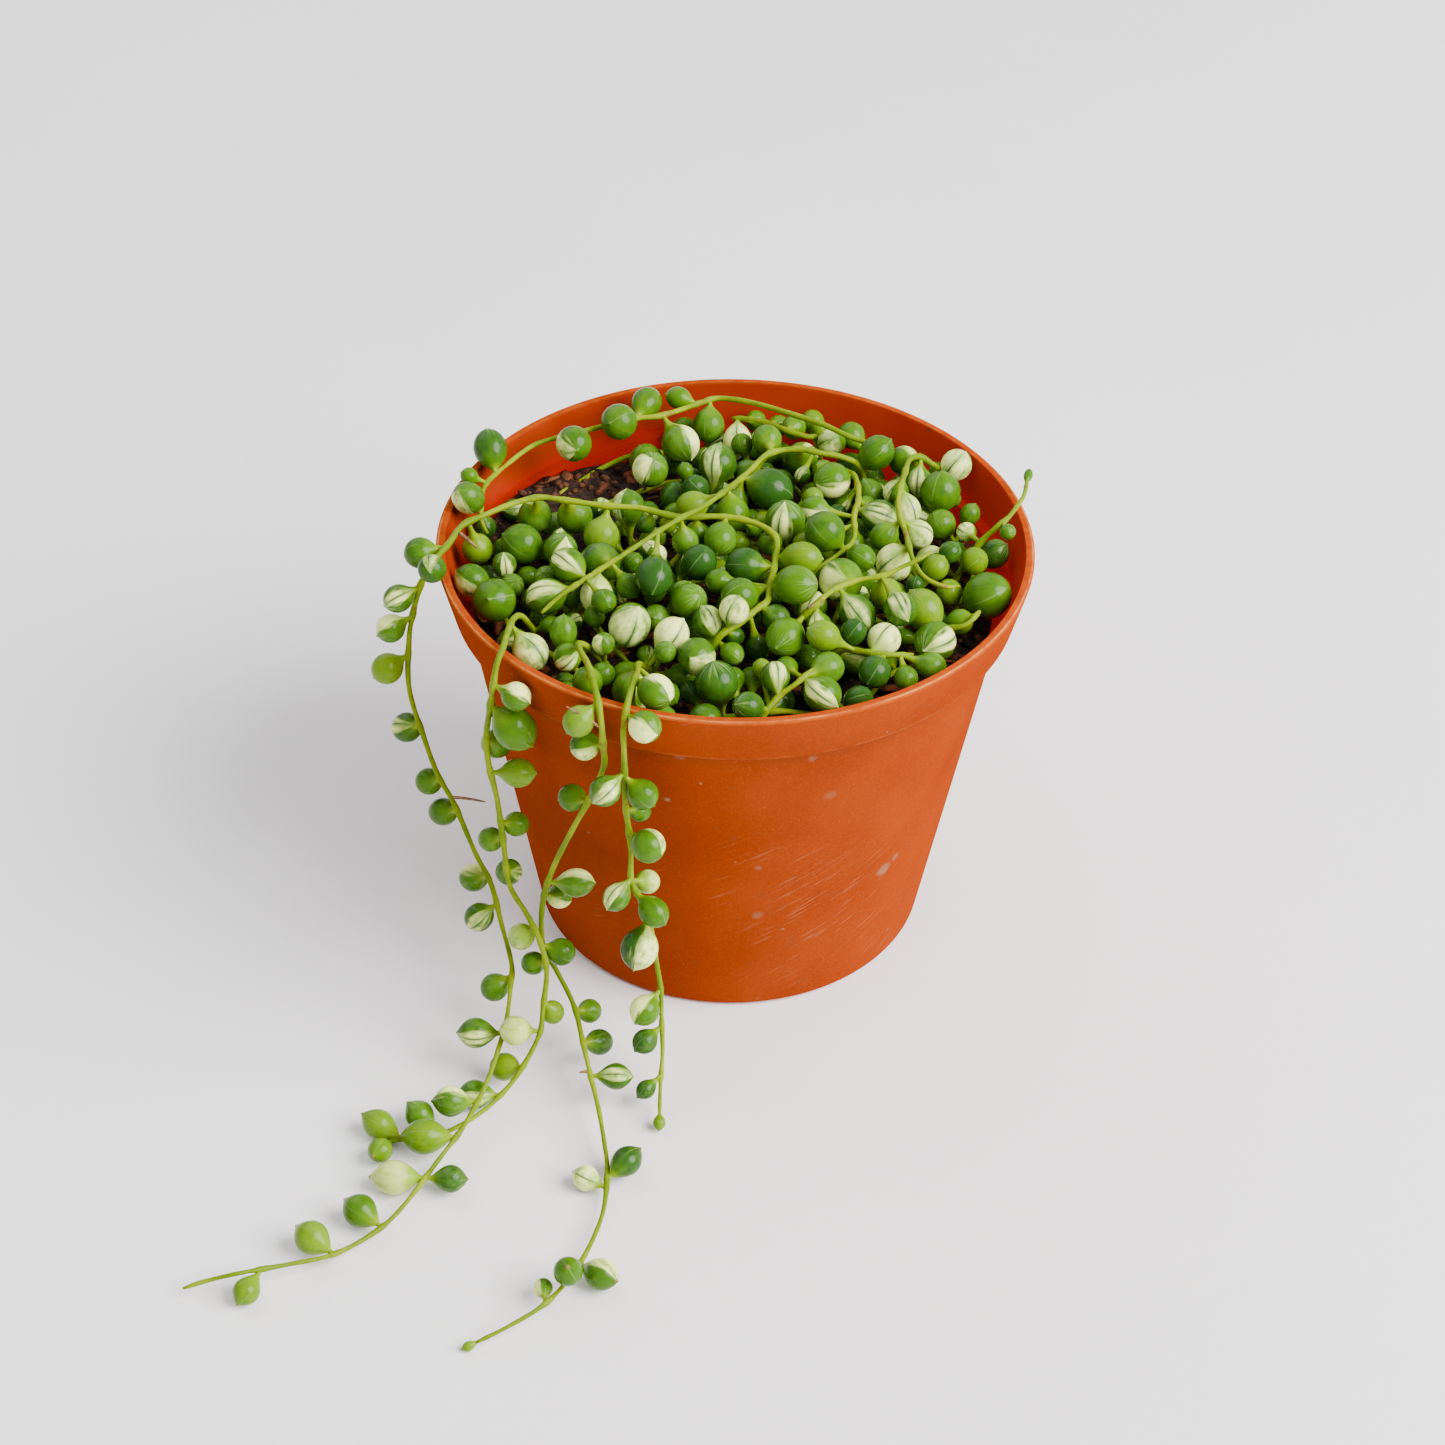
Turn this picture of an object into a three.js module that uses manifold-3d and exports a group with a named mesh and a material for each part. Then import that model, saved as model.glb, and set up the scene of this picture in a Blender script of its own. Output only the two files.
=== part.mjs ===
// A variegated string of pearls in a moulded nursery pot: long stems with round, pointed leaves make a
// mat over the soil, and five of them hang over the rim or lean on it.
// Millimetres, +Z up. The origin is on the surface that the pot stands on, under the middle of the pot.
import * as THREE from "three";
import { mergeVertices } from "three/addons/utils/BufferGeometryUtils.js";
import Module from "manifold-3d";

const wasm = await Module();
wasm.setup();

// The pot
const rimRadius = 60;
const potHeight = 90.5;
const bandHeight = 10.9;
const bandFootRadius = 57.4;
const bodyTopRadius = 54.9;
const footRadius = 41.5;
const footRingWidth = 5.5;
const lipWidth = 1.8;
const lipChamfer = 0.45;
const wall = 1.2;
const bandWall = 1.4;
const floorRise = 1.5;
const footChamfer = 0.9;
const footSlope = 0.8;
const padRadius = 12;
const drainHoles = 8;
const drainHoleRadius = 2.6;
const drainCircleRadius = 24;
const potSides = 40;

// The soil
const soilLevel = 76.5;
const soilWave = 0.9;
const soilTilt = 0.02;
const soilEdgeDrop = 0.6;
const soilCollar = 3;
const soilRings = [44, 35, 26, 17, 8];
const soilGap = 0.35;
const rootDepth = 5;
const rootHoleRadius = 1.55;

// The stems
const stemRadius = 0.68;
const stemSides = 5;
const stemStep = 6;
const lowStemSweep = 0.82;
const lowStemLevels = [80.5, 82.5];
const lowStemWander = 1.6;
const lowStemSwell = 1.1;
const lowStemTries = 60;

// The leaves
const leafSides = 6;
const stalkSides = 3;
const stalkRadius = 0.75;
const strandStalk = 2.1;
const shortestStalk = 1.3;
const longestStalk = 8;
const strandStretch = 0.3;
const matStretch = 0.22;
const budStretch = 1.5;
const budStalk = 0.7;
const baseSpacing = 3;
const basesTried = 9;
const fillLeaves = 2400;
const fillWidths = [4.4, 7.4];
const fillDepths = [1, 7];
const bareRight = -15;
const bareFront = 18;

// The two rings of corners round a leaf: share of its half width, and place along its half length.
const leafRings = [[0.9, -0.42], [0.88, 0.46]];
const leafTip = 1.16;

// The mat, highest in the middle and lower towards the rim
const matTop = 90.5;
const matFall = 4.5;
const matReach = 54;

// The room that is kept clear round a leaf or a stem when the next leaf is placed
const gap = 0.35;
const stemRoom = 1;
const lowStemRoom = 1.2;
const bodyRoom = -0.2;
const stalkRoom = -10;
const stalkBallRadius = 0.6;
const overSoilReach = 54;
const overSoilHeight = 60;
const rootClearance = 1.7;

// What is tried in turn when a leaf doesn't fit: smaller, further along its stem, higher or lower,
// to the side, or leaning away from its direction.
const shrinks = [1, 0.92, 0.84];
const slides = [0, 1, -1, 2, -2];
const lifts = [0, 1.2, -1.2, 2.4, -2.4, 3.6, -3.6];
const shifts = [[0, 0], [1.2, 0], [-1.2, 0], [0, 1.2], [0, -1.2]];
const leans = [0.25, 0.5, 0.8, 1.1];
const leanTurns = 8;

// The route of each stem is a list of points from its root to its tip.
// The first point only says where the stem leaves the soil, so its height isn't used.
const routes = {
  long_left_strand: [
    [-6, -30, 0], [-3, -30, 87.5], [1, -27, 89], [4.5, -23.5, 90], [6.5, -21.5, 90.5], [7, -16.5, 91],
    [8, -9, 91.5], [8, -3, 92.5], [4, 1.5, 92.7], [-3, 4, 92.5], [-12, 3, 93], [-19, 3.5, 94.5],
    [-26.5, 3.5, 95], [-34, 5, 95], [-39.5, 6, 95], [-45, 3.5, 95], [-51, -0.5, 94.5], [-54.5, -3, 94],
    [-56.5, -9, 94], [-59, -13, 92.7], [-61.7, -14.8, 88.5], [-64, -14, 80], [-65, -15, 74],
    [-65.4, -16.5, 63], [-62.4, -20.5, 53], [-59.6, -24.5, 47], [-56.3, -27.5, 42], [-52, -33, 34],
    [-48.7, -36, 28], [-46.3, -41.7, 22], [-44, -48, 17], [-44, -52.5, 14.5], [-44.4, -59, 12],
    [-46, -67, 9.5], [-48, -73.7, 7.2], [-51.2, -82, 5.6], [-55.6, -90, 4.2], [-62, -102, 3],
    [-67, -108.5, 3], [-73.7, -113.7, 3.2], [-81.4, -116.7, 3.8], [-90, -120.5, 5.5], [-96.5, -121, 3.6],
    [-101, -122, 2.4],
  ],
  left_strand: [
    [-38, -20, 0], [-41, -24, 87], [-42.4, -28, 90], [-43, -35, 92.3], [-43.5, -41.5, 93],
    [-44.6, -45.2, 91.2], [-46, -45, 82], [-47.3, -43.8, 73], [-47, -44, 66], [-45.8, -43.5, 57],
    [-44.9, -44, 46], [-44, -45, 36], [-40.3, -48.5, 31], [-37.8, -51.8, 27.5], [-36.3, -54.8, 22],
    [-37, -59, 15], [-37.5, -63, 12], [-41, -68, 7], [-45, -72.5, 4], [-49.5, -76.5, 2.4],
    [-55, -80, 1.5], [-61, -81.5, 1.4], [-67, -83, 1.4],
  ],
  middle_strand: [
    [-24, -30, 0], [-28, -33, 87], [-29.5, -38, 91], [-27, -47, 93], [-25.3, -54.5, 92.8],
    [-24.2, -58.2, 88.5], [-24, -58, 83], [-24, -56.8, 77], [-27, -54.5, 67], [-31, -53.5, 57],
    [-35, -49.5, 44], [-37.3, -48, 33], [-37.5, -47.5, 22], [-34.8, -49.5, 17], [-31, -55.5, 13],
    [-29, -62, 10], [-27, -70, 8], [-25, -77.5, 6], [-23.5, -85, 4], [-22.7, -91, 3],
    [-23, -100.5, 2.5], [-25, -109, 2.5], [-28, -117, 3], [-32.6, -125.5, 4.5], [-39, -130, 3.4],
    [-45, -132.5, 1.6],
  ],
  front_strand: [
    [-15, -32, 0], [-18, -38, 87], [-18, -46, 91], [-19, -54.5, 93], [-20, -59.5, 89], [-20, -60, 84],
    [-20, -58.5, 76], [-20, -58, 70], [-19, -57.5, 57], [-19, -58, 49.5], [-17, -58.5, 44.5],
    [-15.2, -58.5, 38], [-14, -59, 28], [-13.2, -60, 22], [-13, -62, 16], [-12.7, -65.5, 10.5],
    [-13, -70, 5.5], [-13, -76.5, 2.2],
  ],
  back_arch: [
    [29, 41, 0], [28, 38, 87.5], [26, 36, 90.5], [23, 35.5, 92], [18, 38, 93], [12, 41.5, 93],
    [6, 45.5, 92.5], [2, 48, 92], [-4, 50, 91.5], [-8, 48, 91.5], [-16, 42, 92], [-22, 40.5, 92],
    [-31, 36, 92], [-39, 32, 92], [-43, 29, 92], [-47, 23, 92], [-51, 17.5, 91], [-52, 14, 90],
    [-52, 9.5, 87], [-50, 6, 85],
  ],
  long_over_mat: [
    [27, 33, 0], [26, 31, 87], [22, 29.5, 90.5], [17, 29.5, 91.5], [13, 30, 92], [6.5, 28, 92],
    [2, 19.5, 92.5], [-2.5, 11.5, 93.5], [-6.5, 3, 95.6], [-12.5, -3.5, 96], [-22, -12, 94],
    [-33, -20, 90.5], [-38, -24.5, 88],
  ],
  right_over_mat: [
    [42, 29, 0], [43, 29, 87], [40.5, 28.5, 90], [38, 29, 91.3], [36, 27, 92], [35, 23, 92.5],
    [33, 11.5, 93], [33, 5, 93], [34, -1.5, 93], [35, -8.5, 92.3], [37, -14, 91.7], [41, -16.5, 91],
    [44.5, -14, 89.5],
  ],
  across_middle: [
    [11, -20, 0], [13, -23.5, 87.5], [16, -23, 91], [19, -20, 92], [24, -17, 92.5], [29, -16.5, 93.3],
    [33, -15.2, 94.8], [36.5, -14, 96], [39, -11.5, 96.5],
  ],
  back_over_mat: [
    [20, 33, 0], [21.5, 30.5, 86], [24, 27, 88], [25, 21, 89.5], [25, 14, 90], [24, 9, 90],
    [24, 2, 90], [23, -1.5, 90], [20, -5.5, 90], [16, -9, 89], [14, -11, 87.5],
  ],
  back_short: [
    [18, 44, 0], [17, 42.5, 86.5], [15, 40, 88.6], [11, 41, 89.2], [7, 44, 89.2], [2, 46.5, 88.7],
    [-2, 47.5, 88],
  ],
  right_sprig: [
    [44, 0, 0], [47, 1, 85], [49.5, 2.5, 88.5], [52.5, 4, 91], [55, 6, 92.2], [57, 9, 93.2],
    [58.5, 12, 93.8], [59.5, 17.5, 94.2],
  ],
  front_right: [
    [19, -27, 0], [21, -30.5, 85.5], [25, -33.5, 87.5], [29.5, -35, 88], [35, -34, 87.5],
  ],
  right_middle: [
    [38, -22, 0], [41, -23.5, 85.5], [45, -25, 88], [48, -21.5, 89],
  ],
  front_middle: [
    [5, -50, 0], [6, -48.5, 83.5], [9, -45.5, 86], [12, -44.5, 88], [15.5, -41.5, 89.8],
  ],
};

// Leaves of the hanging strands: how far along the stem, which side, and width.
const strandLeaves = {
  long_left_strand: [
    [123, "left down", 6.2], [127, "front down", 5.6], [133, "left down", 5.6], [141, "left down", 5.8],
    [150, "left down", 6.3], [166, "left back down", 6.2], [178, "left back down", 5.6],
    [185, "left back down", 5.8], [200, "left back down", 5.9], [206, "left down", 5.9],
    [221, "left down", 5.8], [234, "left", 6.2], [250, "left", 6.3], [259, "left", 7.2],
    [270, "right back", 5.5], [270, "left", 6.8], [284, "left back", 6.5], [295, "left back", 6.6],
    [309, "front left down", 5.2],
  ],
  left_strand: [
    [45, "right back down", 5.6], [50, "right down", 8], [60, "back down", 5.8], [68, "right", 5.8],
    [81, "right back down", 5], [85, "left back down", 5], [93, "back down", 5.4],
    [107, "left back down", 5.4], [114, "left back down", 4.8], [110, "right down", 5.6],
    [122, "right back down", 4.8], [128, "left", 6], [136, "left", 5.8], [143, "left", 6],
    [158, "back up", 5.8], [164, "left back", 6], [167, "front left", 5],
  ],
  middle_strand: [
    [34, "left down", 5.8], [42, "left down", 5.8], [51, "back down", 5.6], [69, "left back down", 5.4],
    [97, "right", 5.8], [101, "right back down", 5], [131, "right back down", 5],
    [138, "right back down", 5.4], [146, "right", 5.4], [170, "right back", 5.8],
    [172, "left back", 5.2], [192, "front right", 6.2], [196, "front", 5.6], [204, "back", 3.8],
  ],
  front_strand: [
    [29, "right front", 6.7], [39, "right front", 6.1], [53, "left", 5.9], [54, "right down", 5.9],
    [63, "right back down", 4.2], [69, "front right", 6.6], [80, "left front down", 5.2],
    [81, "right back down", 4.8], [84, "front right down", 5.7], [91, "front down", 7.4],
    [109, "left front down", 6], [117, "front down", 5], [127, "front down", 3.8],
  ],
};

// Stems that end in a bud, and the bud's width.
const tipBuds = {
  left_strand: 2.2,
  middle_strand: 2.2,
  front_strand: 2.2,
  right_sprig: 2.6,
  across_middle: 3,
};

// Leaves of the arch and of the sprig at the rim: x, y and height of the middle, and width.
const rimLeaves = [
  [-11.5, 49, 92, 4.8], [-19.5, 46, 92.5, 6.4], [-26, 35, 93.5, 7.5], [-34, 29, 93, 7.4],
  [-51, 24.5, 92, 7], [-56, 17, 92.5, 3.5], [-55.5, 9, 92.5, 6.5], [54.5, 0.5, 92.5, 3.2],
];

// Stems that lie low in the mat are arcs round the pot: radius of the ring, and how many share it.
const lowRings = [[47, 5], [36, 4], [24, 3], [12, 2]];

// Leaves of the mat that show best, by where they lie: x, y and width.
const frontLeaves = [
  [50, -13, 9.3], [39, -29, 8.1], [-3, -44, 8.1], [-19, -42, 8], [-7, -37, 7.3], [17, -46, 7],
  [18, -40, 6.2], [10, -31, 7.5], [-12, -31, 6.7], [-5, -49, 6.6], [27, -39, 6.3], [29, -31, 6.5],
  [8, -42, 5.7], [3, -50, 5.7], [16, -33, 6], [23, -31, 5], [33, -40, 4.6], [38, -35, 5.4],
  [9, -37, 4.6], [0, -40, 4.6], [-13, -36, 4.2], [-19, -28, 8], [0, -28, 5.8], [-25, -33, 4.4],
];
const leftLeaves = [
  [-46, -18, 8.6], [-43, 0, 8.2], [-51, -11, 6.7], [-52, 0, 6.2], [-37, -19, 7.1], [-27, 1, 7.2],
  [-41, 10, 6.9], [-34, 9, 7.2], [-22, 11, 6.9], [-35, -3, 6.8], [-34, -13, 6.7], [-28, -8, 8.2],
  [-24, -25, 5.2], [-33, -29, 5.4], [-39, -34, 6.9], [-33, -36, 5.4], [-27, -17, 6.7], [-22, -16, 4.9],
  [-17, -18, 7.4], [-23, -10, 4.4],
];
const middleLeaves = [
  [21, -13, 8.7], [13, -20, 7.8], [1, -22, 7.2], [24, -23, 7], [19, -2, 8], [10, 6, 8.1],
  [7, 18, 8.6], [-10, -2, 5.4], [-3, -1, 6.6], [2, -10, 7.5], [12, -10, 6.7], [-6, -9, 7.1],
  [-5, -28, 6], [-10, -21, 7], [25, -8, 5.6], [7, 1, 5], [-9, 11, 6.1], [16, 11, 5.6], [-2, -15, 5.1],
];
const backLeaves = [
  [-12, 37, 8], [-4, 28, 7.9], [-18, 36, 8.6], [-18, 26, 7.5], [-5, 46, 6.8], [1, 37, 4.6],
  [5, 35, 6.3], [9, 23, 6.6], [13, 17, 7.4], [21, 23, 7.5], [28, 32, 7.1], [20, 40, 5.9],
  [0, 43, 6.2], [12, 46, 5.2],
];
const rightLeaves = [
  [38, 25, 6.2], [42, 20, 8.3], [37, 5, 5.8], [47, 29, 6.5], [33, 20, 5.4], [28, 10, 6.9],
  [42, 13, 6.1], [35, 15, 5.8], [31, -25, 6.6], [37, -21, 7.8], [31, -16, 6.3], [32, -4, 7.6],
  [48, -2, 5.6], [40, -6, 5.2], [44, -10, 5.1], [47, 8, 4.1], [43, -3, 4.4], [34, 34, 6.3],
  [43, -21, 5.1], [30, 3, 5.7],
];

// Directions that the side words stand for.
const directions = {
  left: [-1, 0, 0],
  right: [1, 0, 0],
  front: [0, -1, 0],
  back: [0, 1, 0],
  up: [0, 0, 1],
  down: [0, 0, -1],
};

// A repeatable stream of numbers from 0 to 1.
let drawState = 20260;
function draw() {
  drawState = (drawState * 16807) % 2147483647;
  return drawState / 2147483647;
}

function between(low, high) {
  return low + (high - low) * draw();
}

// Height of the uneven soil at a place in the pot.
function soilTop(x, y) {
  return soilLevel + soilWave * Math.sin(x / 8 + 0.6) * Math.cos(y / 9.5) + soilTilt * (x - y);
}

// Height at which the middles of the mat's upper leaves lie.
function matHeight(x, y) {
  return matTop - (matFall * (x * x + y * y)) / (matReach * matReach);
}

const bandFoot = potHeight - bandHeight;
const ledgeMiddle = bandFoot + wall / 2;

// Middle lines of the pot's wall, ledge and band as seen in a cut through the pot: radius and height.
const wallLines = [
  [footRadius - wall / 2, footChamfer, bodyTopRadius - wall / 2, bandFoot],
  [bodyTopRadius - wall / 2, ledgeMiddle, bandFootRadius - bandWall / 2, ledgeMiddle],
  [bandFootRadius - bandWall / 2, ledgeMiddle, rimRadius - lipWidth / 2, potHeight - lipWidth / 2],
];

// How far a point lies from the pot's plastic.
function potDistance(x, y, z) {
  const radius = Math.sqrt(x * x + y * y);
  let nearest = Infinity;
  for (const [r0, z0, r1, z1] of wallLines) {
    const dr = r1 - r0;
    const dz = z1 - z0;
    const share = ((radius - r0) * dr + (z - z0) * dz) / (dr * dr + dz * dz);
    const t = Math.min(1, Math.max(0, share));
    const a = radius - r0 - t * dr;
    const b = z - z0 - t * dz;
    nearest = Math.min(nearest, Math.sqrt(a * a + b * b));
  }
  return nearest - lipWidth / 2;
}

// A smooth curve through the points of a route, as knots one stem step apart.
function smoothRoute(points) {
  const fine = [];
  for (let i = 0; i + 1 < points.length; i++) {
    const before = points[Math.max(i - 1, 0)];
    const start = points[i];
    const end = points[i + 1];
    const after = points[Math.min(i + 2, points.length - 1)];
    for (let k = 0; k < 16; k++) {
      const t = k / 16;
      fine.push([0, 1, 2].map((axis) => {
        const leave = (end[axis] - before[axis]) / 2;
        const arrive = (after[axis] - start[axis]) / 2;
        return (2 * t * t * t - 3 * t * t + 1) * start[axis] + (t * t * t - 2 * t * t + t) * leave
          + (3 * t * t - 2 * t * t * t) * end[axis] + (t * t * t - t * t) * arrive;
      }));
    }
  }
  fine.push(points[points.length - 1]);
  const even = evenSteps(fine, 1);
  const steps = Math.max(3, Math.round((even.length - 1) / stemStep));
  const knots = [];
  for (let k = 0; k <= steps; k++) knots.push(even[Math.round((k * (even.length - 1)) / steps)]);
  return knots;
}

// The place that lies a distance along a direction from another place.
function along(place, direction, length) {
  return [0, 1, 2].map((axis) => place[axis] + direction[axis] * length);
}

function difference(a, b) {
  return [a[0] - b[0], a[1] - b[1], a[2] - b[2]];
}

function distance(a, b) {
  const x = a[0] - b[0];
  const y = a[1] - b[1];
  const z = a[2] - b[2];
  return Math.sqrt(x * x + y * y + z * z);
}

function evenSteps(points, step) {
  const even = [points[0]];
  let left = step;
  for (let i = 0; i + 1 < points.length; i++) {
    const span = distance(points[i], points[i + 1]);
    let done = left;
    while (done <= span) {
      const t = done / span;
      even.push(along(points[i], difference(points[i + 1], points[i]), t));
      done += step;
    }
    left = done - span;
  }
  return even;
}

// Everything that is in the way of the next leaf, as balls.
const balls = [];

function addBall(place, radius, owner, isStem) {
  balls.push({ x: place[0], y: place[1], z: place[2], radius, owner, isStem });
}

// Whether a ball fits: clear of the table, the soil, the pot, the other stems and the other leaves.
function fits(place, radius, owner, ownStemRoom) {
  const [x, y, z] = place;
  if (z < radius) return false;
  const overSoil = x * x + y * y < overSoilReach * overSoilReach && z > overSoilHeight;
  if (overSoil && z - radius < soilTop(x, y) + gap) return false;
  if (potDistance(x, y, z) < radius + gap) return false;
  for (const ball of balls) {
    const room = radius + ball.radius + (ball.isStem && ball.owner === owner ? ownStemRoom : gap);
    if (room < 0) continue;
    const dx = x - ball.x;
    if (dx > room || dx < -room) continue;
    const dy = y - ball.y;
    const dz = z - ball.z;
    if (dx * dx + dy * dy + dz * dz < room * room) return false;
  }
  return true;
}

const stems = [];

// A stem that stands upright in its hole in the soil and then follows its route.
function layStem(route) {
  const [rootX, rootY] = route[0];
  const top = soilTop(rootX, rootY);
  const inSoil = [-rootDepth, -1, 2].map((height) => [rootX, rootY, top + height]);
  const knots = smoothRoute([...inSoil, ...route.slice(1)]);
  return { knots, path: evenSteps(knots, 1), root: [rootX, rootY, top - rootDepth], leaves: [] };
}

function addStem(name, stem) {
  const owner = stems.push({ name, ...stem }) - 1;
  stem.path.forEach((place) => addBall(place, stemRoom, owner, true));
}

function isAboveSoil([x, y, z]) {
  return z > soilTop(x, y) + rootClearance;
}

// The balls that a leaf fills: its body, round or drawn out, its tip and the middle of its stalk.
function leafBalls({ base, direction, stalk, radius, stretch }) {
  const middle = stalk + radius * stretch;
  const draw = radius * (stretch - 1);
  return [
    [along(base, direction, middle - draw), radius, bodyRoom],
    [along(base, direction, middle + draw), radius * 0.97, bodyRoom],
    [along(base, direction, middle + radius * stretch * 1.05), radius * 0.22, bodyRoom],
    [along(base, direction, stalk * 0.75), stalkBallRadius, stalkRoom],
  ];
}

// Adds a leaf to a stem if it is clear of everything else.
function tryLeaf(owner, leaf) {
  const filled = leafBalls(leaf);
  if (!filled.every(([place, radius, room]) => fits(place, radius, owner, room))) return false;
  filled.forEach(([place, radius]) => addBall(place, radius, owner, false));
  stems[owner].leaves.push(leaf);
  return true;
}

function unit(vector) {
  const length = Math.sqrt(vector[0] ** 2 + vector[1] ** 2 + vector[2] ** 2);
  return vector.map((value) => value / length);
}

// The wanted direction first, then directions that lean further and further away from it.
function leaningDirections(direction) {
  const side = unit(Math.abs(direction[2]) < 0.9
    ? [direction[1], -direction[0], 0]
    : [0, direction[2], -direction[1]]);
  const other = [
    direction[1] * side[2] - direction[2] * side[1],
    direction[2] * side[0] - direction[0] * side[2],
    direction[0] * side[1] - direction[1] * side[0],
  ];
  const list = [direction];
  for (const lean of leans) {
    for (let k = 0; k < leanTurns; k++) {
      const turn = (k / leanTurns) * 2 * Math.PI;
      list.push([0, 1, 2].map((axis) => direction[axis] * Math.cos(lean)
        + (side[axis] * Math.cos(turn) + other[axis] * Math.sin(turn)) * Math.sin(lean)));
    }
  }
  return list;
}

// Grows a leaf at a length along its stem, towards the side that the words name.
function addStrandLeaf(owner, reach, words, width) {
  const sides = words.split(" ").map((word) => directions[word]);
  const sum = sides.reduce((total, side) => along(total, side, 1), [0, 0, 0]);
  const stretch = 1 + strandStretch * draw() * draw();
  const wanted = leaningDirections(unit(sum));
  const path = stems[owner].path;
  const stalk = strandStalk;
  for (const shrink of shrinks) {
    for (const slide of slides) {
      const base = path[Math.min(reach + slide, path.length - 1)];
      const radius = (width / 2) * shrink;
      if (wanted.some((direction) => tryLeaf(owner, { base, direction, stalk, radius, stretch }))) return;
    }
  }
}

// Grows a leaf whose middle lies at a place, from the nearest stem that it can reach.
function addLeafAt(place, radius, stretch) {
  const near = [];
  stems.forEach((stem, owner) => stem.path.forEach((base, index) => {
    const stalk = distance(base, place) - radius * stretch;
    const inReach = stalk > shortestStalk && stalk < longestStalk;
    if (inReach && index % baseSpacing === 0 && isAboveSoil(base)) near.push([stalk, owner, base]);
  }));
  near.sort((a, b) => a[0] - b[0]);
  return near.slice(0, basesTried).some(([stalk, owner, base]) => {
    const direction = unit(difference(place, base));
    return tryLeaf(owner, { base, direction, stalk, radius, stretch });
  });
}

// A small pointed bud that ends a stem.
function addTipBud(owner, width) {
  const path = stems[owner].path;
  const base = path[path.length - 1];
  const direction = unit(difference(base, path[path.length - 4]));
  leaningDirections(direction).some((lean) => (
    tryLeaf(owner, { base, direction: lean, stalk: budStalk, radius: width / 2, stretch: budStretch })
  ));
}

// Tries the wanted place first, then places around, above and below it, and then a smaller leaf.
function settleLeaf(x, y, z, width) {
  const stretch = 1 + matStretch * draw() * draw();
  for (const shrink of shrinks) {
    for (const lift of lifts) {
      for (const [dx, dy] of shifts) {
        if (addLeafAt([x + dx, y + dy, z + lift], (width / 2) * shrink, stretch)) return;
      }
    }
  }
}

// The route of a low stem: an arc from a start angle that wanders inwards, outwards, up and down.
function lowRoute(ringRadius, start, sweep, wave, level) {
  const route = [];
  for (let k = 0; k <= 6; k++) {
    const angle = start + (sweep * k) / 6;
    const radius = ringRadius + lowStemWander * Math.sin(wave + 1.4 * k);
    const height = level + lowStemSwell * Math.sin(wave + 2.1 * k);
    route.push([radius * Math.cos(angle), radius * Math.sin(angle), height]);
  }
  return route;
}

function addLowStem(ringRadius, share, count) {
  for (let attempt = 0; attempt < lowStemTries; attempt++) {
    const start = ((share + between(0, 0.9)) / count) * 2 * Math.PI;
    const sweep = (2 * Math.PI * lowStemSweep) / count;
    const stem = layStem(lowRoute(ringRadius, start, sweep, between(0, 6), between(...lowStemLevels)));
    if (stem.path.filter(isAboveSoil).every((place) => fits(place, lowStemRoom, null, 0))) {
      addStem("low_stem_" + (stems.length - Object.keys(routes).length + 1), stem);
      return;
    }
  }
}

function addLowStems() {
  lowRings.forEach(([ringRadius, count]) => {
    for (let share = 0; share < count; share++) addLowStem(ringRadius, share, count);
  });
}

// Leaves at drawn places all over the mat, but not over the bare soil at the left back.
function addFillLeaves() {
  for (let i = 0; i < fillLeaves; i++) {
    const radius = matReach * Math.sqrt(draw());
    const turn = 2 * Math.PI * draw();
    const x = radius * Math.cos(turn);
    const y = radius * Math.sin(turn);
    const width = between(...fillWidths);
    const bare = x < bareRight && y > bareFront;
    const z = matHeight(x, y) - between(...fillDepths);
    const stretch = 1 + matStretch * draw() * draw();
    if (!bare) addLeafAt([x, y, z], width / 2, stretch);
  }
}

function growPlant() {
  Object.entries(routes).forEach(([name, route]) => addStem(name, layStem(route)));
  addLowStems();
  const ownerOf = (name) => stems.findIndex((stem) => stem.name === name);
  Object.entries(tipBuds).forEach(([name, width]) => addTipBud(ownerOf(name), width));
  Object.entries(strandLeaves).forEach(([name, leaves]) => {
    const owner = ownerOf(name);
    leaves.forEach(([reach, words, width]) => addStrandLeaf(owner, reach, words, width));
  });
  rimLeaves.forEach(([x, y, z, width]) => settleLeaf(x, y, z, width));
  [frontLeaves, leftLeaves, middleLeaves, backLeaves, rightLeaves].forEach((leaves) => {
    leaves.forEach(([x, y, width]) => settleLeaf(x, y, matHeight(x, y), width));
  });
  addFillLeaves();
}

// A closed geometry as a solid that can be joined and cut.
function solidOf(geometry) {
  const bare = new THREE.BufferGeometry();
  const source = geometry.index ? geometry.toNonIndexed() : geometry;
  bare.setAttribute("position", source.getAttribute("position"));
  const merged = mergeVertices(bare, 1e-4);
  const index = merged.index.array;
  const kept = [];
  for (let i = 0; i < index.length; i += 3) {
    const [a, b, c] = [index[i], index[i + 1], index[i + 2]];
    if (a !== b && b !== c && c !== a) kept.push(a, b, c);
  }
  return new wasm.Manifold(new wasm.Mesh({
    numProp: 3,
    vertProperties: merged.getAttribute("position").array,
    triVerts: new Uint32Array(kept),
  }));
}

function meshOf(name, solid, material) {
  const data = solid.getMesh();
  const geometry = new THREE.BufferGeometry();
  const positions = new Float32Array(data.vertProperties);
  geometry.setAttribute("position", new THREE.BufferAttribute(positions, 3));
  geometry.setIndex(new THREE.BufferAttribute(new Uint32Array(data.triVerts), 1));
  geometry.computeVertexNormals();
  const mesh = new THREE.Mesh(geometry, material);
  mesh.name = name;
  return mesh;
}

// A profile of radius and height points, turned about the Z axis.
function turned(profile, sideCount) {
  const points = profile.map(([radius, height]) => new THREE.Vector2(radius, height));
  return new THREE.LatheGeometry(points, sideCount).rotateX(Math.PI / 2);
}

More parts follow.
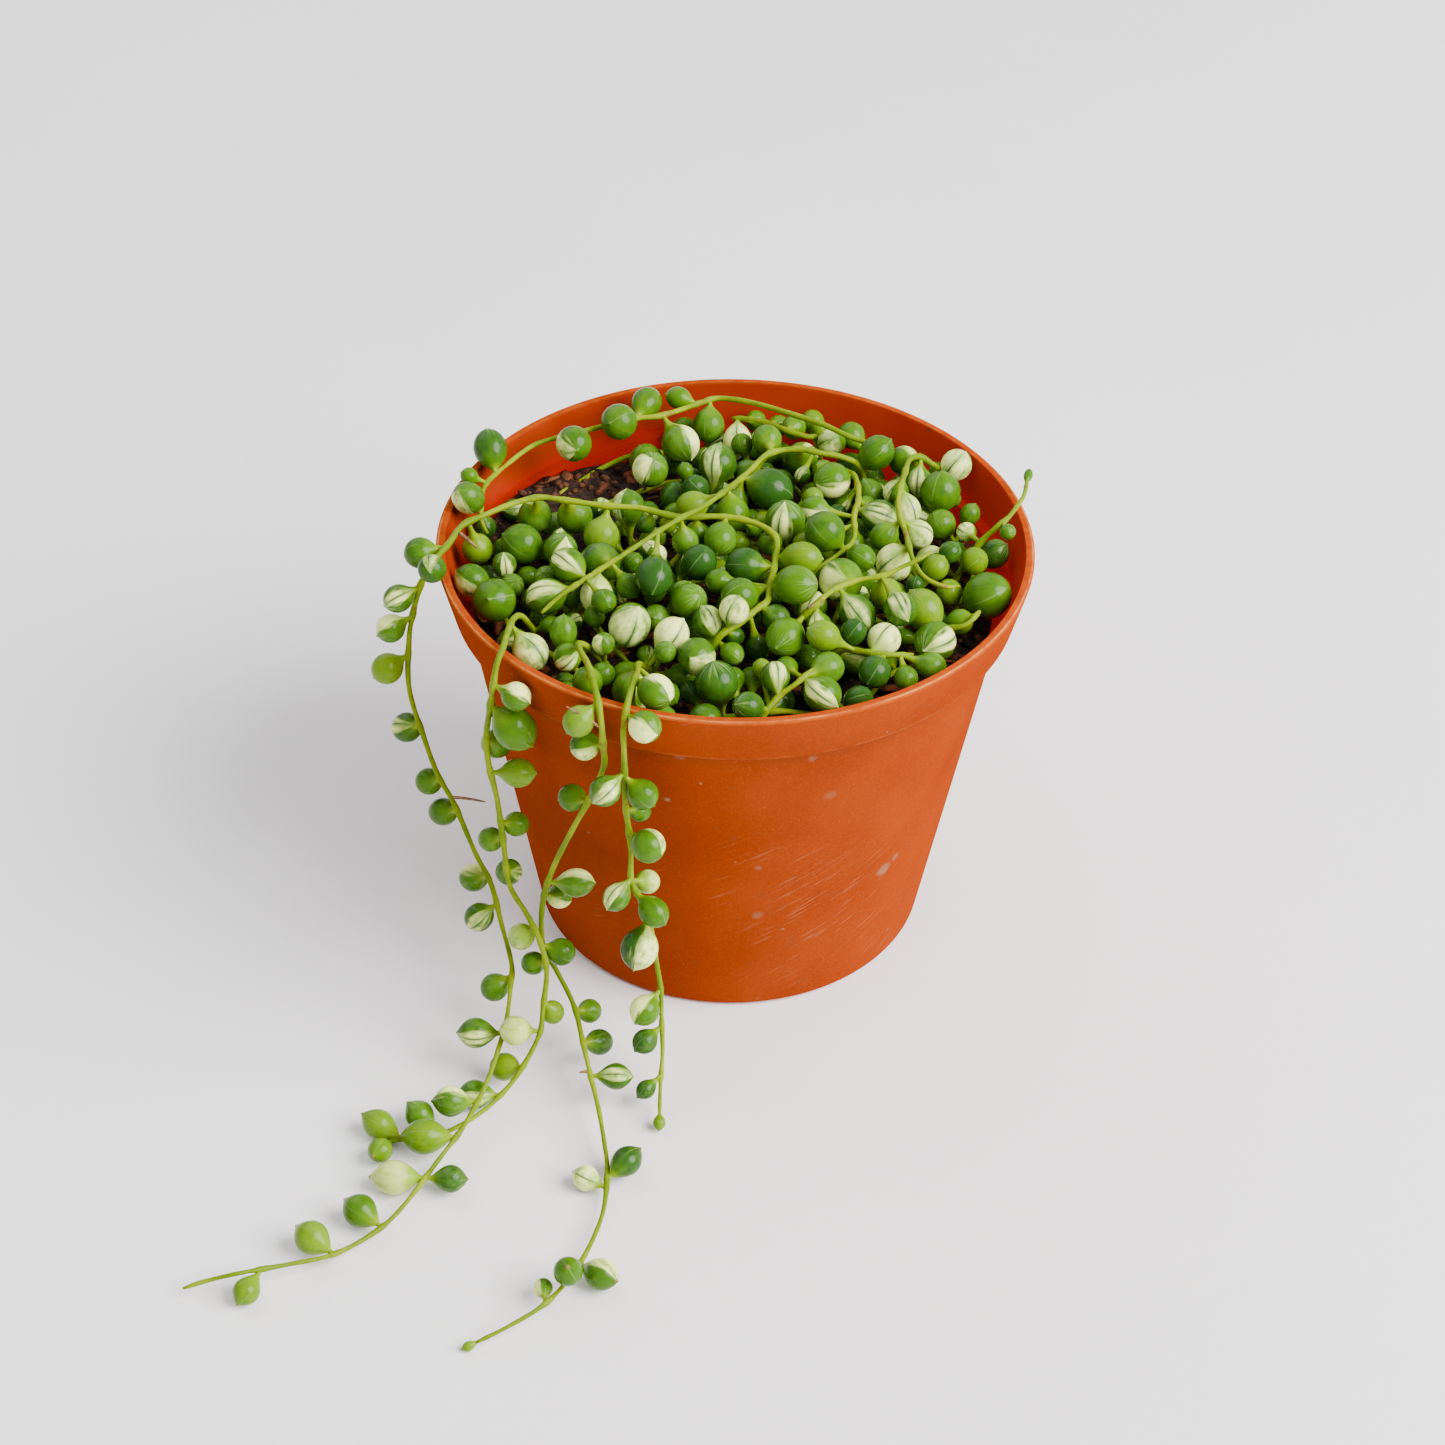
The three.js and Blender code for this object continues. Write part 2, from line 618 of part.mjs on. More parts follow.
function postHole(x, y, bottom, top, radius, sideCount) {
  const height = top - bottom;
  const cylinder = new THREE.CylinderGeometry(radius, radius, height, sideCount).rotateX(Math.PI / 2);
  return solidOf(cylinder.translate(x, y, bottom + height / 2));
}

const floorTop = floorRise + wall;
const innerFootRadius = footRadius - wall;
const innerBodyTopRadius = bodyTopRadius - wall;

function makePot(material) {
  const profile = [
    [0, 0],
    [padRadius, 0],
    [padRadius + footSlope, floorRise],
    [footRadius - footRingWidth - footSlope, floorRise],
    [footRadius - footRingWidth, 0],
    [footRadius - footChamfer, 0],
    [footRadius, footChamfer],
    [bodyTopRadius, bandFoot],
    [bandFootRadius, bandFoot],
    [rimRadius, potHeight - lipChamfer],
    [rimRadius - lipChamfer, potHeight],
    [rimRadius - lipWidth, potHeight],
    [bandFootRadius - bandWall, bandFoot + wall],
    [innerBodyTopRadius, bandFoot + wall],
    [innerFootRadius, floorTop],
    [0, floorTop],
  ];
  let pot = solidOf(turned(profile, potSides));
  for (let i = 0; i < drainHoles; i++) {
    const turn = ((i + 0.5) / drainHoles) * 2 * Math.PI;
    const x = drainCircleRadius * Math.cos(turn);
    const y = drainCircleRadius * Math.sin(turn);
    pot = pot.subtract(postHole(x, y, -1, floorTop + 1, drainHoleRadius, 8));
  }
  return meshOf("pot", pot, material);
}

function makeSoil(material) {
  const wallSlope = (innerBodyTopRadius - innerFootRadius) / (bandFoot + wall - floorTop);
  const radiusAt = (height) => innerFootRadius + (height - floorTop) * wallSlope - soilGap;
  const edge = soilLevel - soilEdgeDrop;
  const profile = [
    [0, floorTop + soilGap],
    [radiusAt(floorTop + soilGap), floorTop + soilGap],
    [radiusAt(edge - soilCollar), edge - soilCollar],
    [radiusAt(edge) - 1, soilLevel],
    ...soilRings.map((radius) => [radius, soilLevel]),
    [0, soilLevel],
  ];
  const geometry = turned(profile, potSides);
  const places = geometry.getAttribute("position");
  for (let i = 0; i < places.count; i++) {
    if (places.getZ(i) > edge) places.setZ(i, soilTop(places.getX(i), places.getY(i)));
  }
  let soil = solidOf(geometry);
  stems.forEach(({ root: [x, y, bottom] }) => {
    soil = soil.subtract(postHole(x, y, bottom - soilGap, potHeight, rootHoleRadius, 6));
  });
  return meshOf("soil", soil, material);
}

// The line of a stem, straight from knot to knot.
class StemLine extends THREE.Curve {
  constructor(knots) {
    super();
    this.knots = knots.map((place) => new THREE.Vector3(...place));
  }

  getUtoTmapping(share) {
    return share;
  }

  getPoint(share, target = new THREE.Vector3()) {
    const steps = this.knots.length - 1;
    const step = Math.min(Math.floor(share * steps + 1e-9), steps - 1);
    return target.lerpVectors(this.knots[step], this.knots[step + 1], share * steps - step);
  }
}

function stemTube(knots) {
  const section = new THREE.Shape();
  for (let i = 0; i < stemSides; i++) {
    const turn = (i / stemSides) * 2 * Math.PI;
    const corner = [stemRadius * Math.cos(turn), stemRadius * Math.sin(turn)];
    if (i === 0) section.moveTo(...corner);
    else section.lineTo(...corner);
  }
  section.closePath();
  const settings = { steps: knots.length - 1, extrudePath: new StemLine(knots), bevelEnabled: false };
  return solidOf(new THREE.ExtrudeGeometry(section, settings));
}

// A leaf body: a three-sided stalk that widens into two rings of corners and ends in a short tip.
function leafBody({ base, direction, stalk, radius, stretch }) {
  const half = radius * stretch;
  const middle = stalk + half;
  const corners = [[0, -stemRadius / 2, 0]];
  const addRing = (count, ringRadius, height) => {
    for (let i = 0; i < count; i++) {
      const turn = (i / count) * 2 * Math.PI;
      corners.push([ringRadius * Math.sin(turn), height, ringRadius * Math.cos(turn)]);
    }
  };
  addRing(stalkSides, stalkRadius, stalk);
  leafRings.forEach(([width, place]) => addRing(leafSides, radius * width, middle + half * place));
  corners.push([0, middle + half * leafTip, 0]);
  const faces = [];
  const neck = (i) => 1 + (i % stalkSides);
  const low = (i) => 1 + stalkSides + (i % leafSides);
  const high = (i) => low(i) + leafSides;
  const tip = corners.length - 1;
  for (let i = 0; i < stalkSides; i++) {
    faces.push(0, neck(i + 1), neck(i));
    faces.push(neck(i), neck(i + 1), low(2 * i + 1));
    faces.push(neck(i), low(2 * i + 1), low(2 * i));
    faces.push(neck(i + 1), low(2 * i + 2), low(2 * i + 1));
  }
  for (let i = 0; i < leafSides; i++) {
    faces.push(low(i), low(i + 1), high(i + 1));
    faces.push(low(i), high(i + 1), high(i));
    faces.push(high(i), high(i + 1), tip);
  }
  const geometry = new THREE.BufferGeometry();
  geometry.setAttribute("position", new THREE.BufferAttribute(new Float32Array(corners.flat()), 3));
  geometry.setIndex(faces);
  const up = new THREE.Vector3(0, 1, 0);
  geometry.applyQuaternion(new THREE.Quaternion().setFromUnitVectors(up, new THREE.Vector3(...direction)));
  return solidOf(geometry.translate(...base));
}

function makeStem(stem, material) {
  let plant = stemTube(stem.knots);
  stem.leaves.forEach((leaf) => {
    plant = plant.add(leafBody(leaf));
  });
  return meshOf(stem.name, plant, material);
}

const plastic = new THREE.MeshStandardMaterial({ color: 0xc4552a, roughness: 0.55, metalness: 0 });
const earth = new THREE.MeshStandardMaterial({ color: 0x2a1d16, roughness: 0.95, metalness: 0 });
const green = new THREE.MeshStandardMaterial({ color: 0x6f9a35, roughness: 0.4, metalness: 0 });

growPlant();

const plantPot = new THREE.Group();
plantPot.add(makePot(plastic), makeSoil(earth));
stems.forEach((stem) => plantPot.add(makeStem(stem, green)));

export default plantPot;
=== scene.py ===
# %% [markdown]
# # A variegated string of pearls in its nursery pot
#
# The real object is a plastic pot of packed soil with some two dozen thin stems in it. Each stem carries
# round, pointed leaves on short stalks. Most of them lie in a mat over the soil, four hang over the rim.
# The solids of the pot, the soil and every stem are loaded first. The main pieces made here stand for them,
# so sizes and places come from there.

import math
import random
from dataclasses import dataclass, field

import bmesh
import bpy
import numpy as np
from mathutils import Matrix, Vector, noise


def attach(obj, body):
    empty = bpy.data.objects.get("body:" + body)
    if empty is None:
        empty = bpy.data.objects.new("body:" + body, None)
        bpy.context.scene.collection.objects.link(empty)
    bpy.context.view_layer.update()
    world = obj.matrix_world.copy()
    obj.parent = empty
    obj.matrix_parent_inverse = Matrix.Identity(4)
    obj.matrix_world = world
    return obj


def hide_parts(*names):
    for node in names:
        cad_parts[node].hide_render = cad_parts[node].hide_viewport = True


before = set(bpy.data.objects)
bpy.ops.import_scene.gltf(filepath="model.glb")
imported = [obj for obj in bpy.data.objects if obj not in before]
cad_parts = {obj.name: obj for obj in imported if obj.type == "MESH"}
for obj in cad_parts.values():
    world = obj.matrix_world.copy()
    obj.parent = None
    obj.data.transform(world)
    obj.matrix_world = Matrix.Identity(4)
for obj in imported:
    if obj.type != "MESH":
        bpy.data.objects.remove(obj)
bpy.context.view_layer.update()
print("solids:", sorted(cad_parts))

# %% [markdown]
# Lengths are written in millimetres, as a maker would give them, and a finished mesh is scaled to metres
# once. The pot's sizes are those of the solid: a 12 cm nursery pot with a band below its rim.

# %% Sizes of the pot and the soil
mm = 0.001
full_turn = 2 * math.pi
rim_radius = 60
pot_height = 90.5
band_height = 10.9
band_foot_radius = 57.4
body_top_radius = 54.9
foot_radius = 41.5
foot_ring_width = 5.5
lip_width = 1.8
lip_chamfer = 0.45
wall = 1.2
band_wall = 1.4
floor_rise = 1.5
foot_chamfer = 0.9
foot_slope = 0.8
pad_radius = 12
soil_level = 76.5
root_depth = 5
band_foot = pot_height - band_height
floor_top = floor_rise + wall
print("pot:", 2 * rim_radius, "mm wide,", pot_height, "mm high")


# %% [markdown]
# The camera stands where the photographer stood: in front of the pot and well above it. Its place and lens
# were worked out from the ellipses of the rim, the band and the foot, so the frame needs no shift.

# %% Camera
camera_place = Vector((0, -468.8, 418.4)) * mm
pan = Matrix.Rotation(math.radians(0.2473), 4, "Z")
tilt = Matrix.Rotation(math.radians(51.284), 4, "X")
roll = Matrix.Rotation(math.radians(0.9088), 4, "Z")
camera_data = bpy.data.cameras.new("camera")
camera_data.lens = 70.876
camera_data.sensor_width = 36
camera = bpy.data.objects.new("camera", camera_data)
bpy.context.scene.collection.objects.link(camera)
camera.matrix_world = Matrix.Translation(camera_place) @ pan @ tilt @ roll
bpy.context.scene.camera = camera
print("camera", round(camera.location.length / mm), "mm from the middle of the foot")


# %% [markdown]
# ## Where every stem and leaf goes
#
# The plant could be scattered by a particle system, but then no leaf would lie where the real one does, and
# leaves would run through each other. Instead the plant is grown: the stems that show are laid one by one,
# the leaves that show are named by place, size and colour, and the rest is filled in by seeded draws. The
# order of the draws is that of the solids, so each leaf here dresses the leaf of the solid.

# %% A repeatable stream of draws
def seeded_stream(state):
    """Endless numbers between 0 and 1, the same ones on every run."""
    while True:
        state = state * 16807 % 2147483647
        yield state / 2147483647


stream = seeded_stream(20260)


def draw():
    return next(stream)


def between(low, high):
    return low + (high - low) * draw()


# %% [markdown]
# The soil is packed by hand, so its top rolls a little. The leaves lie on it in a low cushion that is
# highest in the middle. Two formulas give both heights, so that stems can leave the soil and leaves can lie
# on the mat before either of them is modelled.

# %% Heights of the soil and of the mat
mat_top = 90.5
mat_fall = 4.5
mat_reach = 54


def soil_top(x, y):
    return soil_level + 0.9 * math.sin(x / 8 + 0.6) * math.cos(y / 9.5) + 0.02 * (x - y)


def mat_height(x, y):
    return mat_top - (mat_fall * (x * x + y * y)) / (mat_reach * mat_reach)


print("mat:", round(mat_height(0, 0) - soil_top(0, 0), 1), "mm thick in the middle")


# %% [markdown]
# The route of each stem is a list of points from its root to its tip, read off the photograph. The first
# point only says where the stem leaves the soil.

# %% Routes of the stems
routes = {
    "long_left_strand": [
        (-6, -30, 0), (-3, -30, 87.5), (1, -27, 89), (4.5, -23.5, 90), (6.5, -21.5, 90.5), (7, -16.5, 91),
        (8, -9, 91.5), (8, -3, 92.5), (4, 1.5, 92.7), (-3, 4, 92.5), (-12, 3, 93), (-19, 3.5, 94.5),
        (-26.5, 3.5, 95), (-34, 5, 95), (-39.5, 6, 95), (-45, 3.5, 95), (-51, -0.5, 94.5), (-54.5, -3, 94),
        (-56.5, -9, 94), (-59, -13, 92.7), (-61.7, -14.8, 88.5), (-64, -14, 80), (-65, -15, 74),
        (-65.4, -16.5, 63), (-62.4, -20.5, 53), (-59.6, -24.5, 47), (-56.3, -27.5, 42), (-52, -33, 34),
        (-48.7, -36, 28), (-46.3, -41.7, 22), (-44, -48, 17), (-44, -52.5, 14.5), (-44.4, -59, 12),
        (-46, -67, 9.5), (-48, -73.7, 7.2), (-51.2, -82, 5.6), (-55.6, -90, 4.2), (-62, -102, 3),
        (-67, -108.5, 3), (-73.7, -113.7, 3.2), (-81.4, -116.7, 3.8), (-90, -120.5, 5.5), (-96.5, -121, 3.6),
        (-101, -122, 2.4),
    ],
    "left_strand": [
        (-38, -20, 0), (-41, -24, 87), (-42.4, -28, 90), (-43, -35, 92.3), (-43.5, -41.5, 93),
        (-44.6, -45.2, 91.2), (-46, -45, 82), (-47.3, -43.8, 73), (-47, -44, 66), (-45.8, -43.5, 57),
        (-44.9, -44, 46), (-44, -45, 36), (-40.3, -48.5, 31), (-37.8, -51.8, 27.5), (-36.3, -54.8, 22),
        (-37, -59, 15), (-37.5, -63, 12), (-41, -68, 7), (-45, -72.5, 4), (-49.5, -76.5, 2.4),
        (-55, -80, 1.5), (-61, -81.5, 1.4), (-67, -83, 1.4),
    ],
    "middle_strand": [
        (-24, -30, 0), (-28, -33, 87), (-29.5, -38, 91), (-27, -47, 93), (-25.3, -54.5, 92.8),
        (-24.2, -58.2, 88.5), (-24, -58, 83), (-24, -56.8, 77), (-27, -54.5, 67), (-31, -53.5, 57),
        (-35, -49.5, 44), (-37.3, -48, 33), (-37.5, -47.5, 22), (-34.8, -49.5, 17), (-31, -55.5, 13),
        (-29, -62, 10), (-27, -70, 8), (-25, -77.5, 6), (-23.5, -85, 4), (-22.7, -91, 3),
        (-23, -100.5, 2.5), (-25, -109, 2.5), (-28, -117, 3), (-32.6, -125.5, 4.5), (-39, -130, 3.4),
        (-45, -132.5, 1.6),
    ],
    "front_strand": [
        (-15, -32, 0), (-18, -38, 87), (-18, -46, 91), (-19, -54.5, 93), (-20, -59.5, 89), (-20, -60, 84),
        (-20, -58.5, 76), (-20, -58, 70), (-19, -57.5, 57), (-19, -58, 49.5), (-17, -58.5, 44.5),
        (-15.2, -58.5, 38), (-14, -59, 28), (-13.2, -60, 22), (-13, -62, 16), (-12.7, -65.5, 10.5),
        (-13, -70, 5.5), (-13, -76.5, 2.2),
    ],
    "back_arch": [
        (29, 41, 0), (28, 38, 87.5), (26, 36, 90.5), (23, 35.5, 92), (18, 38, 93), (12, 41.5, 93),
        (6, 45.5, 92.5), (2, 48, 92), (-4, 50, 91.5), (-8, 48, 91.5), (-16, 42, 92), (-22, 40.5, 92),
        (-31, 36, 92), (-39, 32, 92), (-43, 29, 92), (-47, 23, 92), (-51, 17.5, 91), (-52, 14, 90),
        (-52, 9.5, 87), (-50, 6, 85),
    ],
    "long_over_mat": [
        (27, 33, 0), (26, 31, 87), (22, 29.5, 90.5), (17, 29.5, 91.5), (13, 30, 92), (6.5, 28, 92),
        (2, 19.5, 92.5), (-2.5, 11.5, 93.5), (-6.5, 3, 95.6), (-12.5, -3.5, 96), (-22, -12, 94),
        (-33, -20, 90.5), (-38, -24.5, 88),
    ],
    "right_over_mat": [
        (42, 29, 0), (43, 29, 87), (40.5, 28.5, 90), (38, 29, 91.3), (36, 27, 92), (35, 23, 92.5),
        (33, 11.5, 93), (33, 5, 93), (34, -1.5, 93), (35, -8.5, 92.3), (37, -14, 91.7), (41, -16.5, 91),
        (44.5, -14, 89.5),
    ],
    "across_middle": [
        (11, -20, 0), (13, -23.5, 87.5), (16, -23, 91), (19, -20, 92), (24, -17, 92.5), (29, -16.5, 93.3),
        (33, -15.2, 94.8), (36.5, -14, 96), (39, -11.5, 96.5),
    ],
    "back_over_mat": [
        (20, 33, 0), (21.5, 30.5, 86), (24, 27, 88), (25, 21, 89.5), (25, 14, 90), (24, 9, 90),
        (24, 2, 90), (23, -1.5, 90), (20, -5.5, 90), (16, -9, 89), (14, -11, 87.5),
    ],
    "back_short": [
        (18, 44, 0), (17, 42.5, 86.5), (15, 40, 88.6), (11, 41, 89.2), (7, 44, 89.2), (2, 46.5, 88.7),
        (-2, 47.5, 88),
    ],
    "right_sprig": [
        (44, 0, 0), (47, 1, 85), (49.5, 2.5, 88.5), (52.5, 4, 91), (55, 6, 92.2), (57, 9, 93.2),
        (58.5, 12, 93.8), (59.5, 17.5, 94.2),
    ],
    "front_right": [
        (19, -27, 0), (21, -30.5, 85.5), (25, -33.5, 87.5), (29.5, -35, 88), (35, -34, 87.5),
    ],
    "right_middle": [
        (38, -22, 0), (41, -23.5, 85.5), (45, -25, 88), (48, -21.5, 89),
    ],
    "front_middle": [
        (5, -50, 0), (6, -48.5, 83.5), (9, -45.5, 86), (12, -44.5, 88), (15.5, -41.5, 89.8),
    ],
}
print(len(routes), "stems are laid by hand")

# %% [markdown]
# Leaves of the hanging strands are given by how far along the stem they sit, the side that they point to,
# their width and their colour. The colour words are those a grower would use: a leaf is green, dark, lime or
# pale all over, half cream, cream, or green with a slit, the narrow window that lets light into the leaf.
# The words half and edge with right before them put the cream on the right.

# %% Leaves of the hanging strands
strand_leaves = {
    "long_left_strand": [
        (123, "left down", 6.2, "green"), (127, "front down", 5.6, "slit"), (133, "left down", 5.6, "slit"),
        (141, "left down", 5.8, "half"), (150, "left down", 6.3, "lime"),
        (166, "left back down", 6.2, "slit"), (178, "left back down", 5.6, "green"),
        (185, "left back down", 5.8, "green"), (200, "left back down", 5.9, "half"),
        (206, "left down", 5.9, "slit"), (221, "left down", 5.8, "green"), (234, "left", 6.2, "slit"),
        (250, "left", 6.3, "half"), (259, "left", 7.2, "lime"), (270, "right back", 5.5, "dark"),
        (270, "left", 6.8, "pale"), (284, "left back", 6.5, "green"), (295, "left back", 6.6, "lime"),
        (309, "front left down", 5.2, "lime"),
    ],
    "left_strand": [
        (45, "right back down", 5.6, "half"), (50, "right down", 8, "green"),
        (60, "back down", 5.8, "green"), (68, "right", 5.8, "lime"), (81, "right back down", 5, "green"),
        (85, "left back down", 5, "green"), (93, "back down", 5.4, "slit"),
        (107, "left back down", 5.4, "pale"), (114, "left back down", 4.8, "green"),
        (110, "right down", 5.6, "green"), (122, "right back down", 4.8, "lime"), (128, "left", 6, "pale"),
        (136, "left", 5.8, "lime"), (143, "left", 6, "slit"), (158, "back up", 5.8, "green"),
        (164, "left back", 6, "lime"), (167, "front left", 5, "lime"),
    ],
    "middle_strand": [
        (34, "left down", 5.8, "green"), (42, "left down", 5.8, "lime"), (51, "back down", 5.6, "half"),
        (69, "left back down", 5.4, "green"), (97, "right", 5.8, "right edge"),
        (101, "right back down", 5, "half"), (131, "right back down", 5, "green"),
        (138, "right back down", 5.4, "dark"), (146, "right", 5.4, "slit"),
        (170, "right back", 5.8, "dark"), (172, "left back", 5.2, "cream"),
        (192, "front right", 6.2, "half"), (196, "front", 5.6, "green"), (204, "back", 3.8, "half"),
    ],
    "front_strand": [
        (29, "right front", 6.7, "half"), (39, "right front", 6.1, "half"), (53, "left", 5.9, "slit"),
        (54, "right down", 5.9, "green"), (63, "right back down", 4.2, "green"),
        (69, "front right", 6.6, "right edge"), (80, "left front down", 5.2, "slit"),
        (81, "right back down", 4.8, "pale"), (84, "front right down", 5.7, "green"),
        (91, "front down", 7.4, "right half"), (109, "left front down", 6, "half"),
        (117, "front down", 5, "dark"), (127, "front down", 3.8, "dark"),
    ],
}
print(sum(len(leaves) for leaves in strand_leaves.values()), "leaves hang from the strands")

# %% [markdown]
# The other leaves that show lie over the rim or in the mat. A leaf over the rim needs all three of its
# measures, but one in the mat only its place seen from above, because it lies on the cushion. Each then has
# its width and its colour. The stem that it hangs from is found later: it is one of the nearest.

# %% Leaves of the rim and the mat
rim_leaves = [
    (-11.5, 49, 92, 4.8, "green"), (-19.5, 46, 92.5, 6.4, "green"), (-26, 35, 93.5, 7.5, "green"),
    (-34, 29, 93, 7.4, "half"), (-51, 24.5, 92, 7, "dark"), (-56, 17, 92.5, 3.5, "green"),
    (-55.5, 9, 92.5, 6.5, "half"), (54.5, 0.5, 92.5, 3.2, "green"),
]
front_leaves = [
    (50, -13, 9.3, "green"), (39, -29, 8.1, "slit"), (-3, -44, 8.1, "dark"), (-19, -42, 8, "half"),
    (-7, -37, 7.3, "half"), (17, -46, 7, "slit"), (18, -40, 6.2, "green"), (10, -31, 7.5, "green"),
    (-12, -31, 6.7, "cream"), (-5, -49, 6.6, "slit"), (27, -39, 6.3, "dark"), (29, -31, 6.5, "cream"),
    (8, -42, 5.7, "slit"), (3, -50, 5.7, "dark"), (16, -33, 6, "lime"), (23, -31, 5, "dark"),
    (33, -40, 4.6, "green"), (38, -35, 5.4, "green"), (9, -37, 4.6, "green"), (0, -40, 4.6, "green"),
    (-13, -36, 4.2, "green"), (-19, -28, 8, "cream"), (0, -28, 5.8, "cream"), (-25, -33, 4.4, "half"),
]
left_leaves = [
    (-46, -18, 8.6, "green"), (-43, 0, 8.2, "green"), (-51, -11, 6.7, "half"), (-52, 0, 6.2, "lime"),
    (-37, -19, 7.1, "slit"), (-27, 1, 7.2, "lime"), (-41, 10, 6.9, "slit"), (-34, 9, 7.2, "green"),
    (-22, 11, 6.9, "half"), (-35, -3, 6.8, "slit"), (-34, -13, 6.7, "slit"), (-28, -8, 8.2, "dark"),
    (-24, -25, 5.2, "green"), (-33, -29, 5.4, "green"), (-39, -34, 6.9, "cream"), (-33, -36, 5.4, "slit"),
    (-27, -17, 6.7, "cream"), (-22, -16, 4.9, "green"), (-17, -18, 7.4, "dark"), (-23, -10, 4.4, "lime"),
]
middle_leaves = [
    (21, -13, 8.7, "half"), (13, -20, 7.8, "green"), (1, -22, 7.2, "green"), (24, -23, 7, "slit"),
    (19, -2, 8, "green"), (10, 6, 8.1, "slit"), (7, 18, 8.6, "dark"), (-10, -2, 5.4, "green"),
    (-3, -1, 6.6, "green"), (2, -10, 7.5, "dark"), (12, -10, 6.7, "lime"), (-6, -9, 7.1, "dark"),
    (-5, -28, 6, "slit"), (-10, -21, 7, "green"), (25, -8, 5.6, "green"), (7, 1, 5, "green"),
    (-9, 11, 6.1, "lime"), (16, 11, 5.6, "half"), (-2, -15, 5.1, "green"),
]
back_leaves = [
    (-12, 37, 8, "half"), (-4, 28, 7.9, "slit"), (-18, 36, 8.6, "green"), (-18, 26, 7.5, "half"),
    (-5, 46, 6.8, "green"), (1, 37, 4.6, "green"), (5, 35, 6.3, "green"), (9, 23, 6.6, "slit"),
    (13, 17, 7.4, "slit"), (21, 23, 7.5, "half"), (28, 32, 7.1, "green"), (20, 40, 5.9, "cream"),
    (0, 43, 6.2, "cream"), (12, 46, 5.2, "green"),
]
right_leaves = [
    (38, 25, 6.2, "slit"), (42, 20, 8.3, "green"), (37, 5, 5.8, "cream"), (47, 29, 6.5, "cream"),
    (33, 20, 5.4, "half"), (28, 10, 6.9, "slit"), (42, 13, 6.1, "green"), (35, 15, 5.8, "cream"),
    (31, -25, 6.6, "slit"), (37, -21, 7.8, "lime"), (31, -16, 6.3, "lime"), (32, -4, 7.6, "cream"),
    (48, -2, 5.6, "lime"), (40, -6, 5.2, "lime"), (44, -10, 5.1, "lime"), (47, 8, 4.1, "cream"),
    (43, -3, 4.4, "dark"), (34, 34, 6.3, "half"), (43, -21, 5.1, "green"), (30, 3, 5.7, "green"),
]
mat_leaves = front_leaves + left_leaves + middle_leaves + back_leaves + right_leaves
print(len(rim_leaves) + len(mat_leaves), "leaves are placed by hand")

# %% [markdown]
# A stem bends evenly, so its route is a smooth curve through the points. A curve object could give it, but
# its points would have to be read back. Here Hermite spans are worked out directly, and then measured off in
# even steps of a millimetre. The solid of a stem bends only at knots six millimetres apart, so the leaves
# are set on the line through these knots.

# %% Smooth routes and even steps
route_step = 1
knot_step = 6
span_parts = 16


def even_steps(points, step):
    """Points at even distances along a line of straight pieces."""
    even = [points[0]]
    left = step
    for start, end in zip(points, points[1:]):
        span = math.dist(start, end)
        done = left
        while done <= span:
            even.append([a + (b - a) * (done / span) for a, b in zip(start, end)])
            done += step
        left = done - span
    return even


def hermite(before, start, end, after, t):
    leave = (end - before) / 2
    arrive = (after - start) / 2
    return ((2 * t * t * t - 3 * t * t + 1) * start + (t * t * t - 2 * t * t + t) * leave
            + (3 * t * t - 2 * t * t * t) * end + (t * t * t - t * t) * arrive)


def smooth_route(points):
    fine = []
    last = len(points) - 1
    for i in range(last):
        near = [points[max(i - 1, 0)], points[i], points[i + 1], points[min(i + 2, last)]]
        for k in range(span_parts):
            fine.append([hermite(*values, k / span_parts) for values in zip(*near)])
    fine.append(list(points[-1]))
    return even_steps(fine, route_step)


def knots_of(even):
    last = len(even) - 1
    steps = max(3, math.floor(last / knot_step + 0.5))
    return [even[math.floor((k * last) / steps + 0.5)] for k in range(steps + 1)]


print("arch:", len(smooth_route(routes["back_arch"])), "mm long")


# %% [markdown]
# Whether a new leaf has room could be asked of the meshes, but thousands of tries would take minutes. Here
# every stem and leaf that is placed is kept as a few balls, and a new ball is measured against all of them
# at once. The pot counts as three lines along the middle of its wall, its ledge and its band.

# %% Everything that is in the way of the next leaf
leaf_of_any_stem = -1
over_soil = 60
ledge_middle = band_foot + wall / 2
body_middle = body_top_radius - wall / 2
band_middle = band_foot_radius - band_wall / 2
wall_lines = [
    (foot_radius - wall / 2, foot_chamfer, body_middle, band_foot),
    (body_middle, ledge_middle, band_middle, ledge_middle),
    (band_middle, ledge_middle, rim_radius - lip_width / 2, pot_height - lip_width / 2),
]


def pot_distance(x, y, z):
    """How far a point is from the skin of the pot."""
    radius = math.hypot(x, y)
    nearest = math.inf
    for r0, z0, r1, z1 in wall_lines:
        share = ((radius - r0) * (r1 - r0) + (z - z0) * (z1 - z0)) / ((r1 - r0) ** 2 + (z1 - z0) ** 2)
        t = min(1, max(0, share))
        nearest = min(nearest, math.hypot(radius - r0 - t * (r1 - r0), z - z0 - t * (z1 - z0)))
    return nearest - lip_width / 2


